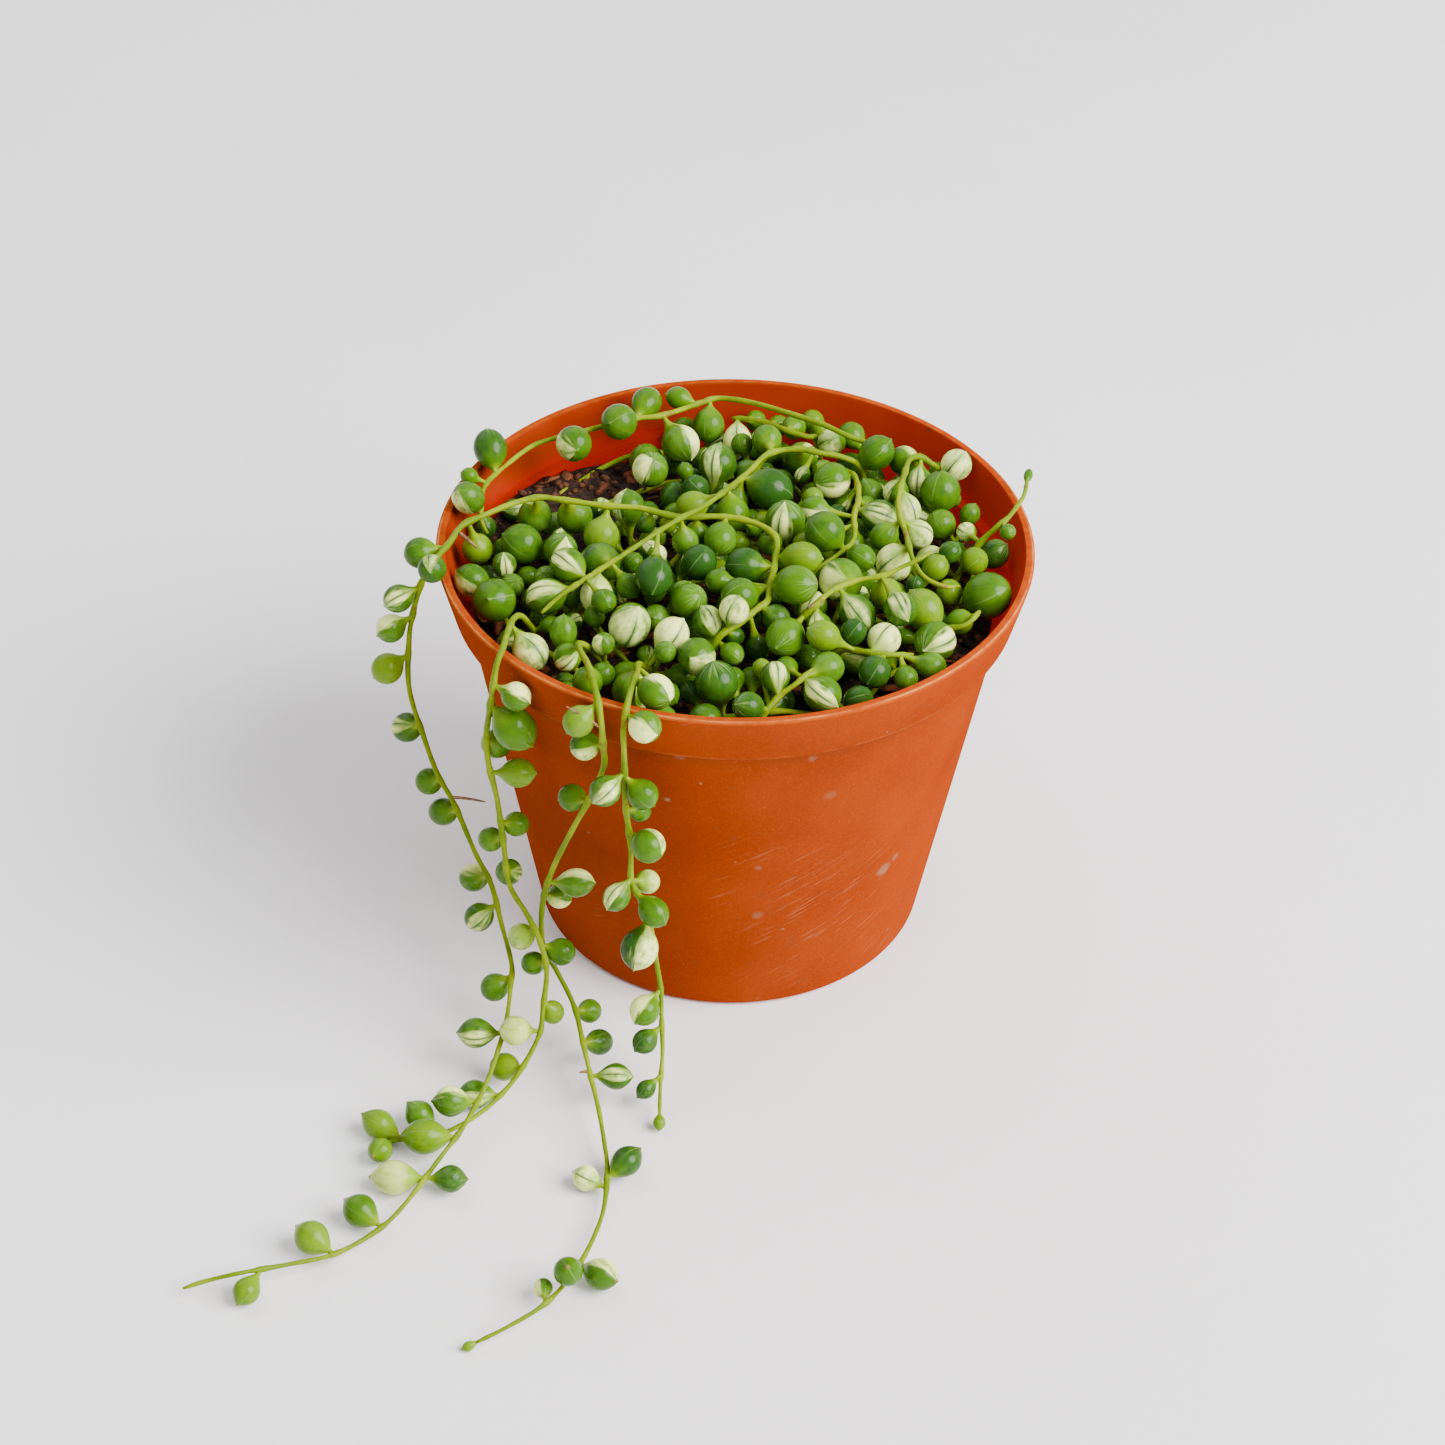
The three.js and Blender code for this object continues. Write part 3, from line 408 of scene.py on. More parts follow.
class Thicket:
    """All stems and leaves so far, filled with balls, and the gap that is left between them."""

    def __init__(self, gap, most=20000):
        self.gap = gap
        self.count = 0
        self.places = np.zeros((most, 3))
        self.radii = np.zeros(most)
        self.owners = np.full(most, leaf_of_any_stem)

    def add(self, place, radius, owner=leaf_of_any_stem):
        self.places[self.count] = place
        self.radii[self.count] = radius
        self.owners[self.count] = owner
        self.count += 1

    def has_room(self, place, radius, owner, room_to_own_stem):
        """Whether a ball clears the floor, the soil, the pot and every ball so far."""
        x, y, z = place
        if z < radius:
            return False
        is_over_soil = x * x + y * y < mat_reach * mat_reach and z > over_soil
        if is_over_soil and z - radius < soil_top(x, y) + self.gap:
            return False
        if pot_distance(x, y, z) < radius + self.gap:
            return False
        own = self.owners[:self.count] == owner
        room = radius + self.radii[:self.count] + np.where(own, room_to_own_stem, self.gap)
        away = self.places[:self.count] - place
        return not np.any((room > 0) & (np.einsum("ij,ij->i", away, away) < room * room))


thicket = Thicket(gap=0.35)
print("room for a leaf in the soil:", thicket.has_room((0, 0, soil_level), 3, leaf_of_any_stem, 0))


# %% [markdown]
# A cutting of this plant is laid on the soil and roots where it touches, so every stem starts in the soil.
# The first point of a route only says where. Three points straight above each other, from the end of the
# root to just over the soil, take its place.

# %% Laying the stems that show
stem_room = 1


@dataclass
class Stem:
    """A stem with its smooth route, the line that its leaves sit on, and its leaves."""
    name: str
    even: list
    path: list
    leaves: list = field(default_factory=list)


def lay_stem(name, route):
    """A stem that comes straight up out of the soil and then follows its route."""
    root_x, root_y = route[0][:2]
    top = soil_top(root_x, root_y)
    in_soil = [(root_x, root_y, height) for height in (top - root_depth, top - 1, top + 2)]
    even = smooth_route(in_soil + list(route[1:]))
    return Stem(name, even, even_steps(knots_of(even), route_step))


def add_stem(stem):
    stems.append(stem)
    for place in stem.path:
        thicket.add(place, stem_room, len(stems) - 1)


stems = []
for name, route in routes.items():
    add_stem(lay_stem(name, route))
print("the longest stem is", max(len(stem.even) for stem in stems), "mm long")


# %% [markdown]
# Under the leaves lie more stems that hardly show. They could be left out, but leaves need a stem to hang
# from, and here and there one is seen in a gap. They are laid as arcs round the pot that wave from side to
# side and up and down. Where an arc would run through another stem, it is drawn again, and if no try fits,
# it is left out.

# %% Low stems
low_rings = [(47, 5), (36, 4), (24, 3), (12, 2)]
low_points = 7
low_share = 0.82
low_levels = (80.5, 82.5)
low_room = 1.2
side_wave = 1.6
height_wave = 1.1
most_tries = 60
clear_of_soil = 1.7
no_stem = -2


def is_above_soil(place):
    return place[2] > soil_top(place[0], place[1]) + clear_of_soil


def low_route(ring_radius, start, sweep_angle, wave, level):
    route = []
    for k in range(low_points):
        angle = start + sweep_angle * k / (low_points - 1)
        radius = ring_radius + side_wave * math.sin(wave + 1.4 * k)
        height = level + height_wave * math.sin(wave + 2.1 * k)
        route.append((radius * math.cos(angle), radius * math.sin(angle), height))
    return route


def add_low_stem(ring_radius, share, count):
    """Lays one of the stems that share a ring."""
    name = "low_stem_%d" % (len(stems) - len(routes) + 1)
    for _ in range(most_tries):
        start = (share + between(0, 0.9)) / count * full_turn
        wave = between(0, 6)
        level = between(*low_levels)
        stem = lay_stem(name, low_route(ring_radius, start, full_turn * low_share / count, wave, level))
        above = [place for place in stem.path if is_above_soil(place)]
        if all(thicket.has_room(place, low_room, no_stem, 0) for place in above):
            add_stem(stem)
            return


for ring_radius, count in low_rings:
    for share in range(count):
        add_low_stem(ring_radius, share, count)
stem_number = {stem.name: number for number, stem in enumerate(stems)}
print(len(stems), "stems")


# %% [markdown]
# A leaf is a body on a stalk. Two large balls fill its body, a small one its point and another its stalk.
# The leaf is tried where it is wanted, and if one of its balls has no room, the next direction is tried,
# each a little further from the one that was wanted. The room kept from the leaf's own stem is negative,
# because the body may press into it a little and the stalk grows out of it.

# %% Trying a leaf on a stem
body_room = -0.2
stalk_room = -10
stalk_ball = 0.6


@dataclass
class Leaf:
    """Where the stalk leaves the stem, where the leaf points to, its sizes and its colour word."""
    base: list
    direction: list
    stalk: float
    radius: float
    stretch: float
    look: str
    is_small: bool = False

    def balls(self):
        """Place and radius of each ball, and the room it leaves to the leaf's own stem."""
        half = self.radius * self.stretch
        middle = self.stalk + half
        drawn = self.radius * (self.stretch - 1)
        spots = [
            (middle - drawn, self.radius, body_room),
            (middle + drawn, self.radius * 0.97, body_room),
            (middle + half * 1.05, self.radius * 0.22, body_room),
            (self.stalk * 0.75, stalk_ball, stalk_room),
        ]
        return [([a + b * reach for a, b in zip(self.base, self.direction)], radius, room)
                for reach, radius, room in spots]


def try_leaf(number, leaf):
    """Adds the leaf to the stem with this number, if it has room."""
    filled = leaf.balls()
    if not all(thicket.has_room(place, radius, number, room) for place, radius, room in filled):
        return False
    for place, radius, _ in filled:
        thicket.add(place, radius)
    stems[number].leaves.append(leaf)
    return True


def unit(vector):
    length = math.sqrt(vector[0] ** 2 + vector[1] ** 2 + vector[2] ** 2)
    return [value / length for value in vector]


def leaning_directions(direction):
    """The direction itself, and eight more round it at each of four leans."""
    x, y, z = direction
    side = unit([y, -x, 0] if abs(z) < 0.9 else [0, z, -y])
    other = [y * side[2] - z * side[1], z * side[0] - x * side[2], x * side[1] - y * side[0]]
    leaning = [direction]
    for lean in (0.25, 0.5, 0.8, 1.1):
        for k in range(8):
            angle = k * math.pi / 4
            away = [s * math.cos(angle) + o * math.sin(angle) for s, o in zip(side, other)]
            leaning.append([d * math.cos(lean) + a * math.sin(lean) for d, a in zip(direction, away)])
    return leaning


print(len(leaning_directions((0, 0, 1))), "directions are tried for a leaf")


# %% [markdown]
# The leaves of the strands know their stem. They come first, so that they get the best places. Where one
# has no room, it leans another way, slides a little along its stem or is made a little smaller.

# %% Leaves whose stem is known
directions = {
    "left": (-1, 0, 0), "right": (1, 0, 0), "front": (0, -1, 0),
    "back": (0, 1, 0), "up": (0, 0, 1), "down": (0, 0, -1),
}
shrinks = (1, 0.92, 0.84)
slides = (0, 1, -1, 2, -2)
strand_stalk = 2.1
strand_stretch = 0.3


def heading_of(words):
    """The direction that words such as "left down" mean."""
    return unit([sum(values) for values in zip(*(directions[word] for word in words.split()))])


def stretch_up_to(most):
    """Most leaves are nearly round, and a few are drawn out."""
    return 1 + most * draw() * draw()


def add_strand_leaf(number, reach, words, width, look):
    """Finds room for a leaf this far along its stem."""
    stretch = stretch_up_to(strand_stretch)
    wanted = leaning_directions(heading_of(words))
    path = stems[number].path
    for shrink in shrinks:
        for slide in slides:
            base = path[min(reach + slide, len(path) - 1)]
            radius = width / 2 * shrink
            for direction in wanted:
                if try_leaf(number, Leaf(base, direction, strand_stalk, radius, stretch, look)):
                    return


for name, leaves in strand_leaves.items():
    for reach, words, width, look in leaves:
        add_strand_leaf(stem_number[name], reach, words, width, look)
print(sum(len(stem.leaves) for stem in stems), "leaves on the strands")


# %% [markdown]
# A leaf of the rim or of the mat knows its own place, and its stem has to be found. Every third millimetre
# of each stem above the soil may carry a leaf. The nearest of these that leave a stalk of a usual length are
# tried, and if none has room, the leaf is lifted, moved or made smaller. Two leaves find no place even so.

# %% Leaves whose place is known
leaf_bases = [(number, place) for number, stem in enumerate(stems)
              for place in stem.path[::3] if is_above_soil(place)]
base_places = np.array([place for _, place in leaf_bases])
shortest_stalk = 1.3
longest_stalk = 8
nearest_bases = 9
mat_stretch = 0.22
lifts = (0, 1.2, -1.2, 2.4, -2.4, 3.6, -3.6)
moves = ((0, 0), (1.2, 0), (-1.2, 0), (0, 1.2), (0, -1.2))


def add_leaf_at(place, radius, stretch, look):
    """Hangs a leaf with its middle at this place from one of the nearest bases."""
    stalks = np.sqrt(((base_places - place) ** 2).sum(axis=1)) - radius * stretch
    near = [i for i in np.argsort(stalks, kind="stable") if shortest_stalk < stalks[i] < longest_stalk]
    for i in near[:nearest_bases]:
        number, base = leaf_bases[i]
        direction = unit([a - b for a, b in zip(place, base)])
        if try_leaf(number, Leaf(base, direction, stalks[i], radius, stretch, look)):
            return True
    return False


def settle_leaf(x, y, z, width, look):
    """Finds room for a leaf at or near its place."""
    stretch = stretch_up_to(mat_stretch)
    for shrink in shrinks:
        for lift in lifts:
            for dx, dy in moves:
                if add_leaf_at([x + dx, y + dy, z + lift], width / 2 * shrink, stretch, look):
                    return


for x, y, z, width, look in rim_leaves:
    settle_leaf(x, y, z, width, look)
for x, y, width, look in mat_leaves:
    settle_leaf(x, y, mat_height(x, y), width, look)
print(sum(len(stem.leaves) for stem in stems), "leaves with those of the rim and the mat")


# %% [markdown]
# The rest of the mat is filled by draws: a place, a width and a depth below the top of the cushion. Each
# try makes the same draws whether its leaf finds room or not, so a change to one leaf doesn't scatter all
# the others. The patch at the back left stays bare, as on the real plant.

# %% Filling the mat
def fill_mat(tries, reach, widths, depths, is_bare):
    """Tries leaves at drawn places, except where the mat stays bare."""
    for _ in range(tries):
        radius = reach * math.sqrt(draw())
        angle = full_turn * draw()
        x = radius * math.cos(angle)
        y = radius * math.sin(angle)
        width = between(*widths)
        z = mat_height(x, y) - between(*depths)
        stretch = stretch_up_to(mat_stretch)
        if not is_bare(x, y):
            add_leaf_at([x, y, z], width / 2, stretch, None)


def bare_at_back(x, y):
    return x < -15 and y > 18


fill_mat(tries=2400, reach=mat_reach, widths=(4.4, 7.4), depths=(1, 7), is_bare=bare_at_back)
print(len(stems), "stems and", sum(len(stem.leaves) for stem in stems), "leaves as in the solids")


# %% [markdown]
# The solids stop at some 260 leaves so that they stay light. The real mat is denser: smaller leaves fill the
# gaps between the large ones and crowd against the wall. They grow by the same rule, with less room between
# leaves. Near the rim at the front the real mat is open, so none of them grow there.

# %% Smaller leaves between the large ones
def bare_at_back_and_front(x, y):
    return bare_at_back(x, y) or (x > -12 and y < 0 and math.hypot(x, y) > 41)


large_counts = [len(stem.leaves) for stem in stems]
thicket.gap = 0.06
fill_mat(tries=2600, reach=56, widths=(3.4, 6.6), depths=(0, 7), is_bare=bare_at_back_and_front)
for stem, count in zip(stems, large_counts):
    for leaf in stem.leaves[count:]:
        leaf.is_small = True
print(sum(len(stem.leaves) for stem in stems), "leaves in all")


# %% [markdown]
# ## Turning shapes into pieces
#
# Every piece is a bmesh made in millimetres. One helper turns it into an object at the origin, in metres. A
# second one gives it smooth faces, lets it ride on the pot's body and hides the solids that it stands for.

# %% Helpers that finish a piece
def new_object(name, bm):
    """Puts the shape of a bmesh in the scene."""
    bmesh.ops.scale(bm, vec=(mm, mm, mm), verts=bm.verts)
    mesh = bpy.data.meshes.new(name)
    bm.to_mesh(mesh)
    bm.free()
    made = bpy.data.objects.new(name, mesh)
    bpy.context.scene.collection.objects.link(made)
    return made


def add_piece(name, bm, stands_for=(), levels=0):
    """A smooth piece of the pot's body, rounded by this many levels of subdivision."""
    piece = new_object(name, bm)
    piece.data.polygons.foreach_set("use_smooth", [True] * len(piece.data.polygons))
    if levels:
        subdivision = piece.modifiers.new("Subdivision", "SUBSURF")
        subdivision.levels = levels
        subdivision.render_levels = levels
    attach(piece, "root")
    if stands_for:
        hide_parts(*stands_for)
    return piece


def faces_of(pieces):
    return sum(len(piece.data.polygons) for piece in pieces)


# %% [markdown]
# ## The pot
#
# A nursery pot is one thin injection moulding: a tapered wall, a small ledge, and a band that flares up to a
# rolled lip. A cylinder could be tapered and inset to get there, but a mould maker draws the cross-section,
# and so does this cell: it spins a few points about the pot's axis.

# %% Pot
def spun(profile, steps):
    """A closed body from a cross-section that starts and ends on the axis."""
    bm = bmesh.new()
    corners = [bm.verts.new((radius, 0, height)) for radius, height in profile]
    edges = [bm.edges.new(pair) for pair in zip(corners, corners[1:])]
    bmesh.ops.spin(bm, geom=corners + edges, axis=(0, 0, 1), cent=(0, 0, 0), angle=full_turn, steps=steps,
                   use_merge=True)
    bmesh.ops.remove_doubles(bm, verts=bm.verts, dist=0.001)
    bmesh.ops.recalc_face_normals(bm, faces=bm.faces)
    return bm


pot_profile = [
    (0, 0),
    (pad_radius, 0),
    (pad_radius + foot_slope, floor_rise),
    (foot_radius - foot_ring_width - foot_slope, floor_rise),
    (foot_radius - foot_ring_width, 0),
    (foot_radius - foot_chamfer, 0),
    (foot_radius, foot_chamfer),
    (body_top_radius, band_foot),
    (band_foot_radius, band_foot),
    (rim_radius, pot_height - lip_chamfer),
    (rim_radius - lip_chamfer, pot_height),
    (rim_radius - lip_width, pot_height),
    (band_foot_radius - band_wall, band_foot + wall),
    (body_top_radius - wall, band_foot + wall),
    (foot_radius - wall, floor_top),
    (0, floor_top),
]
pot = add_piece("pot_moulding", spun(pot_profile, 160), stands_for=["pot"])
print("pot:", faces_of([pot]), "faces before its holes")


# %% [markdown]
# Water leaves the pot through a ring of holes in its floor. Plain cylinders stand where the holes go, and a
# Boolean modifier takes them out. A Bevel modifier then rounds the corners as a mould leaves them. Both are
# applied at once, because the cylinders mustn't stay in the scene.

# %% Drain holes and rounded corners
drain_holes = 8
drain_hole_radius = 2.6
drain_circle_radius = 24
drill_depth = 8
holes_bm = bmesh.new()
for i in range(drain_holes):
    angle = (i + 0.5) / drain_holes * full_turn
    place = (drain_circle_radius * math.cos(angle), drain_circle_radius * math.sin(angle), floor_rise)
    bmesh.ops.create_cone(holes_bm, cap_ends=True, segments=24, radius1=drain_hole_radius,
                          radius2=drain_hole_radius, depth=drill_depth, matrix=Matrix.Translation(place))
holes = new_object("drain_holes", holes_bm)
cut = pot.modifiers.new("Drain holes", "BOOLEAN")
cut.object = holes
rounding = pot.modifiers.new("Rounding", "BEVEL")
rounding.width = 0.35 * mm
rounding.segments = 3
rounding.limit_method = "ANGLE"
rounding.angle_limit = math.radians(35)
cut_mesh = bpy.data.meshes.new_from_object(pot.evaluated_get(bpy.context.evaluated_depsgraph_get()))
pot.modifiers.clear()
pot.data = cut_mesh
pot.data.name = "pot_moulding"
bpy.data.objects.remove(holes)
print("pot:", faces_of([pot]), "faces")


# %% [markdown]
# ## The potting mix
#
# Potting mix is peat with shredded bark in it. The bed is a closed body that is spun like the pot and then
# pushed up and down by noise, so that its outline is lumpy from the side as well. At the back left it leans
# on the wall in a heap. A displacement in the material would be shorter, but it wouldn't be in the mesh.

# %% Soil bed
wall_gap = 0.35
bed_rings = 70
bed_steps = 220
heap_place = (-50, 25)
heap_height = 9
heap_width = 30
lump_noises = [(3, 7, 1.3), (9, 2.6, 1.1), (15, 1.1, 0.6)]


def soil_radius(height):
    """The inside of the wall at this height, less a small gap."""
    slope = (body_top_radius - foot_radius) / (band_foot + wall - floor_top)
    return foot_radius - wall + (height - floor_top) * slope - wall_gap


def heaped(x, y):
    """The level of the soil with its heap."""
    return soil_top(x, y) - 0.5 + heap_height * math.exp(-(math.dist((x, y), heap_place) / heap_width) ** 2)


def lumps(x, y):
    """Coarse, middle and fine lumps."""
    return sum(noise.noise(Vector((x, y, layer)) / size) * height for layer, size, height in lump_noises)


bed_foot = floor_top + wall_gap
bed_profile = [(0, bed_foot)] + [(soil_radius(height), height)
                                 for height in (bed_foot, soil_level - 4, soil_level - 0.8)]
for k in range(bed_rings):
    bed_profile.append(((soil_radius(soil_level) - 0.3) * (1 - k / bed_rings), soil_level))
bed_profile.append((0, soil_level))
bed_bm = spun(bed_profile, bed_steps)
for vert in bed_bm.verts:
    x, y, z = vert.co
    if z > soil_level - 0.5:
        edge_fade = min(1, (soil_radius(soil_level) - math.hypot(x, y)) / 2)
        vert.co.z = heaped(x, y) + lumps(x, y) * edge_fade
bed = add_piece("soil_bed", bed_bm, stands_for=["soil"])
print("soil bed:", faces_of([bed]), "faces")


# %% [markdown]
# Crumbs and bark chips are separate bodies strewn on top: a bump alone would look painted, because the low
# light would find no shadows in it. Each starts as a small icosphere, is pressed flat or drawn long, and has
# its corners moved a little. It also stores a tone of its own, for the material to read.

# %% Crumbs and chips of bark
strewn = random.Random(41)


def strew(count, sizes, flat, tall, lift):
    """Chunks between two sizes, pressed flat, drawn long and lifted by these shares of their size."""
    bm = bmesh.new()
    tone_layer = bm.verts.layers.float.new("chip_tone")
    for _ in range(count):
        radius = soil_radius(soil_level - 2) * math.sqrt(strewn.random())
        angle = strewn.uniform(0, full_turn)
        x = radius * math.cos(angle)
        y = radius * math.sin(angle)
        size = strewn.uniform(*sizes)
        shape = Matrix.Diagonal((size * tall, size, size * flat, 1))
        lean = Matrix.Rotation(strewn.uniform(-0.5, 0.5), 4, "X")
        lean = lean @ Matrix.Rotation(strewn.uniform(-0.4, 0.4), 4, "Y")
        spin = Matrix.Rotation(strewn.uniform(0, full_turn), 4, "Z")
        place = Matrix.Translation((x, y, heaped(x, y) + lumps(x, y) + size * flat * lift))
        made = bmesh.ops.create_icosphere(bm, subdivisions=1, radius=0.5, matrix=place @ spin @ lean @ shape)
        tone = strewn.random()
        for vert in made["verts"]:
            vert.co += Vector([strewn.uniform(-0.14, 0.14) * size * flat for _ in range(3)])
            vert[tone_layer] = tone
    return bm


crumb_bm = strew(1500, sizes=(0.7, 2.2), flat=0.8, tall=1.1, lift=0.2)
crumbs = add_piece("soil_crumbs", crumb_bm)
chip_bm = strew(460, sizes=(1.2, 3.2), flat=0.3, tall=2.4, lift=0.5)
chips = add_piece("bark_chips", chip_bm)
print("crumbs and chips:", faces_of([crumbs, chips]), "faces")


# %% [markdown]
# ## The stems
#
# A stem is a tube of changing thickness. A bevelled curve could do this too, but an extruded ring keeps the
# faces in order, and the leaves can be made with the same helper. The end face of the tube is extruded again
# and again and moved to the next place on the route. Its frame turns with the route and never twists.

# %% Sweep a tube along a route
def frames_along(places):
    """One frame for each place, with its z axis along the route."""
    vectors = [Vector(place) for place in places]
    last = len(vectors) - 1
    headings = [(vectors[min(i + 1, last)] - vectors[max(i - 1, 0)]).normalized() for i in range(last + 1)]
    rotation = Vector((0, 0, 1)).rotation_difference(headings[0])
    frames = []
    for i, (vector, heading) in enumerate(zip(vectors, headings)):
        if i:
            rotation = headings[i - 1].rotation_difference(heading) @ rotation
        frames.append(Matrix.Translation(vector) @ rotation.to_matrix().to_4x4())
    return frames


def sweep(bm, places, radii, sides):
    """Adds a closed tube through the places and returns its corners."""
    frames = [at @ Matrix.Scale(radius, 4) for at, radius in zip(frames_along(places), radii)]
    start = bmesh.ops.create_circle(bm, cap_ends=True, segments=sides, radius=1, matrix=frames[0])
    verts = list(start["verts"])
    end = verts[0].link_faces[0]
    for i in range(1, len(frames)):
        grown = bmesh.ops.extrude_face_region(bm, geom=[end])["geom"]
        if i > 1:
            bmesh.ops.delete(bm, geom=[end], context="FACES_ONLY")
        end = next(element for element in grown if isinstance(element, bmesh.types.BMFace))
        bmesh.ops.transform(bm, matrix=frames[i] @ frames[i - 1].inverted(), verts=end.verts)
        verts += end.verts
    return verts


# %% [markdown]
# A stem is thicker at its root and thinner at its tip, a little uneven, and swollen where a leaf joins. A
# radius for every millimetre of the route says all this. The stems that show are pieces of their own; the
# low ones share one piece, because nothing of them is looked at alone.

# %% Stem pieces
stem_radius = 0.58
stem_sides = 8
swelling = 0.2
swelling_reach = 1.3


def joint_swelling(place, leaves):
    nearest = min((math.dist(place, leaf.base) for leaf in leaves), default=math.inf)
    return swelling * math.exp(-(nearest / swelling_reach) ** 2)


def stem_radii(stem):
    count = len(stem.even)
    radii = []
    for i, place in enumerate(stem.even):
        taper = 1.08 - 0.34 * (i / (count - 1)) ** 1.5
        wave = 0.05 * math.sin(i * 0.9) + 0.04 * math.sin(i * 0.37 + 1)
        blunt_end = 0.45 + 0.55 * min(1, (count - i) / 3)
        radii.append(stem_radius * (taper + wave) * blunt_end + joint_swelling(place, stem.leaves))
    return radii


def stem_bmesh(members):
    bm = bmesh.new()
    for stem in members:
        sweep(bm, stem.even, stem_radii(stem), stem_sides)
    bmesh.ops.recalc_face_normals(bm, faces=bm.faces)
    return bm


def names_of(members):
    return [stem.name for stem in members]


laid_stems = stems[:len(routes)]
low_stems = stems[len(routes):]
stem_pieces = [add_piece(stem.name + "_runner", stem_bmesh([stem]), [stem.name])
               for stem in laid_stems]
stem_pieces.append(add_piece("low_runners", stem_bmesh(low_stems), names_of(low_stems)))
print(len(stem_pieces), "stem pieces,", faces_of(stem_pieces), "faces")


# %% [markdown]
# ## The leaves
#
# The leaves differ in how much of them is cream, whether they have a green slit, and how light their green
# is. Every colour word stands for these three numbers. Leaves that no word was given for draw one from a
# list in which the usual ones are there more often.

# %% What the colour words mean
looks = {
    "green": {"cream": 0, "slit": 0, "tone": 0.38},
    "dark": {"cream": 0, "slit": 0, "tone": 0.1},
    "lime": {"cream": 0, "slit": 0, "tone": 0.78},
    "half": {"cream": 0.32, "slit": 0, "tone": 0.34},
    "right half": {"cream": 0.45, "slit": 0, "tone": 0.1},
    "right edge": {"cream": 0.2, "slit": 0, "tone": 0.4},
    "cream": {"cream": 0.55, "slit": 1, "tone": 0.5},
    "pale": {"cream": 0.62, "slit": 0, "tone": 1.0},
    "slit": {"cream": 0.17, "slit": 1, "tone": 0.28},
}
usual_looks = ["green"] * 11 + ["dark"] * 6 + ["lime"] * 4 + ["slit"] * 3 + ["half"] * 2
print(len(looks), "looks")


# %% [markdown]
# A leaf of this plant is a bead of water in a waxy skin, on a stalk two or three millimetres long and with a
# small dry point. In the mat it is nearly a ball; near the floor it is drawn out to a drop. A sphere with a
# pulled corner could do, but the stalk would have to be joined to it. Here the leaf is swept like a stem, as
# ten rings along its axis, and Subdivision Surface rounds it. The rings are a little too wide, because
# subdivision pulls a ring of eight corners in.

# %% The form of a leaf
leaf_sides = 8
stalk_radii = [0.6, 0.42]
low_height = 22
ball_rings = [(-0.97, 0.42), (-0.7, 0.87), (-0.24, 1.13), (0.27, 1.13), (0.71, 0.87), (0.96, 0.46),
              (1.04, 0.11), (1.13, 0.03)]
drop_rings = [(-1.28, 0.27), (-0.82, 0.68), (-0.3, 1.09), (0.24, 1.12), (0.68, 0.84), (1.0, 0.44),
              (1.2, 0.14), (1.32, 0.03)]


def pointedness(leaf):
    """How far a leaf is drawn out, from 0 for a ball to 1 for a drop."""
    height = leaf.base[2]
    if height < pot_height - 5:
        return 0.12 + 0.78 * max(0, 1 - height / low_height)
    return min(0.3, max(0, (leaf.stretch - 1.05) / 0.4))


def leaf_rings(pointed):
    """Reach and width of each ring of a leaf of radius 1."""
    return [(a + (c - a) * pointed, b + (d - b) * pointed)
            for (a, b), (c, d) in zip(ball_rings, drop_rings)]


print("rings of a leaf:", len(stalk_radii) + len(leaf_rings(0)))


# %% [markdown]
# The cream runs down one side of a leaf from stalk to point, so a leaf has to be turned about its own axis
# until the right side shows. In the mat it is seen from above, on a strand from the front. Each corner also
# stores where it is on its own leaf and what colours the leaf has. One material can then paint them all.

# %% Sweep a leaf and store its colours
def face_turn(look):
    """How far the middle of the cream is turned away from the viewer."""
    side = 1 if draw() < 0.5 and "right" not in look else -1
    if "half" in look or "edge" in look:
        return side * between(1.0, 1.6)
    return side * between(0, 0.5)


def leaf_frame(leaf, facing, turn):
    """The leaf's own axes: z from stalk to point, x to the middle of the cream."""
    axis = Vector(leaf.direction)
    front = (facing - axis * facing.dot(axis)).normalized()
    axes = Matrix((front, axis.cross(front), axis)).transposed().to_4x4()
    return Matrix.Translation(leaf.base) @ axes @ Matrix.Rotation(turn, 4, "Z")


def add_leaf(bm, leaf, facing):
    look = leaf.look or usual_looks[int(draw() * len(usual_looks))]
    own_frame = leaf_frame(leaf, facing, face_turn(look))
    half = leaf.radius * leaf.stretch
    middle = leaf.stalk + half
    rings = leaf_rings(pointedness(leaf))
    reaches = [0, leaf.stalk * 0.5] + [middle + half * reach for reach, _ in rings]
    radii = stalk_radii + [leaf.radius * width for _, width in rings]
    verts = sweep(bm, [own_frame @ Vector((0, 0, reach)) for reach in reaches], radii, leaf_sides)
    to_leaf = own_frame.inverted()
    seed = draw()
    colours = looks[look]
    tone = colours["tone"] + 0.16 * (seed - 0.5)
    place_layer = bm.verts.layers.float_vector["leaf_place"]
    look_layer = bm.verts.layers.float_color["leaf_look"]
    for vert in verts:
        local = to_leaf @ vert.co
        vert[place_layer] = (local.x / leaf.radius, local.y / leaf.radius, (local.z - middle) / half)
        vert[look_layer] = (colours["cream"], colours["slit"], tone, seed)


# %% [markdown]
# The growing end of a stem is a bud of folded leaves, no bigger than a seed. It is made as a very small leaf
# that points on along the stem, and it is added after the stems, so that it doesn't swell them.

# %% Buds at the ends of the strands
end_buds = [
    ("front_strand", 2.6, 1.1, "lime"),
    ("middle_strand", 1.9, 1.3, "lime"),
    ("right_sprig", 1.9, 2, "green"),
]
for name, width, stretch, look in end_buds:
    owner = stems[stem_number[name]]
    heading = unit([a - b for a, b in zip(owner.path[-1], owner.path[-5])])
    owner.leaves.append(Leaf(owner.path[-1], heading, 0.3, width / 2, stretch, look))
print(len(end_buds), "end buds")


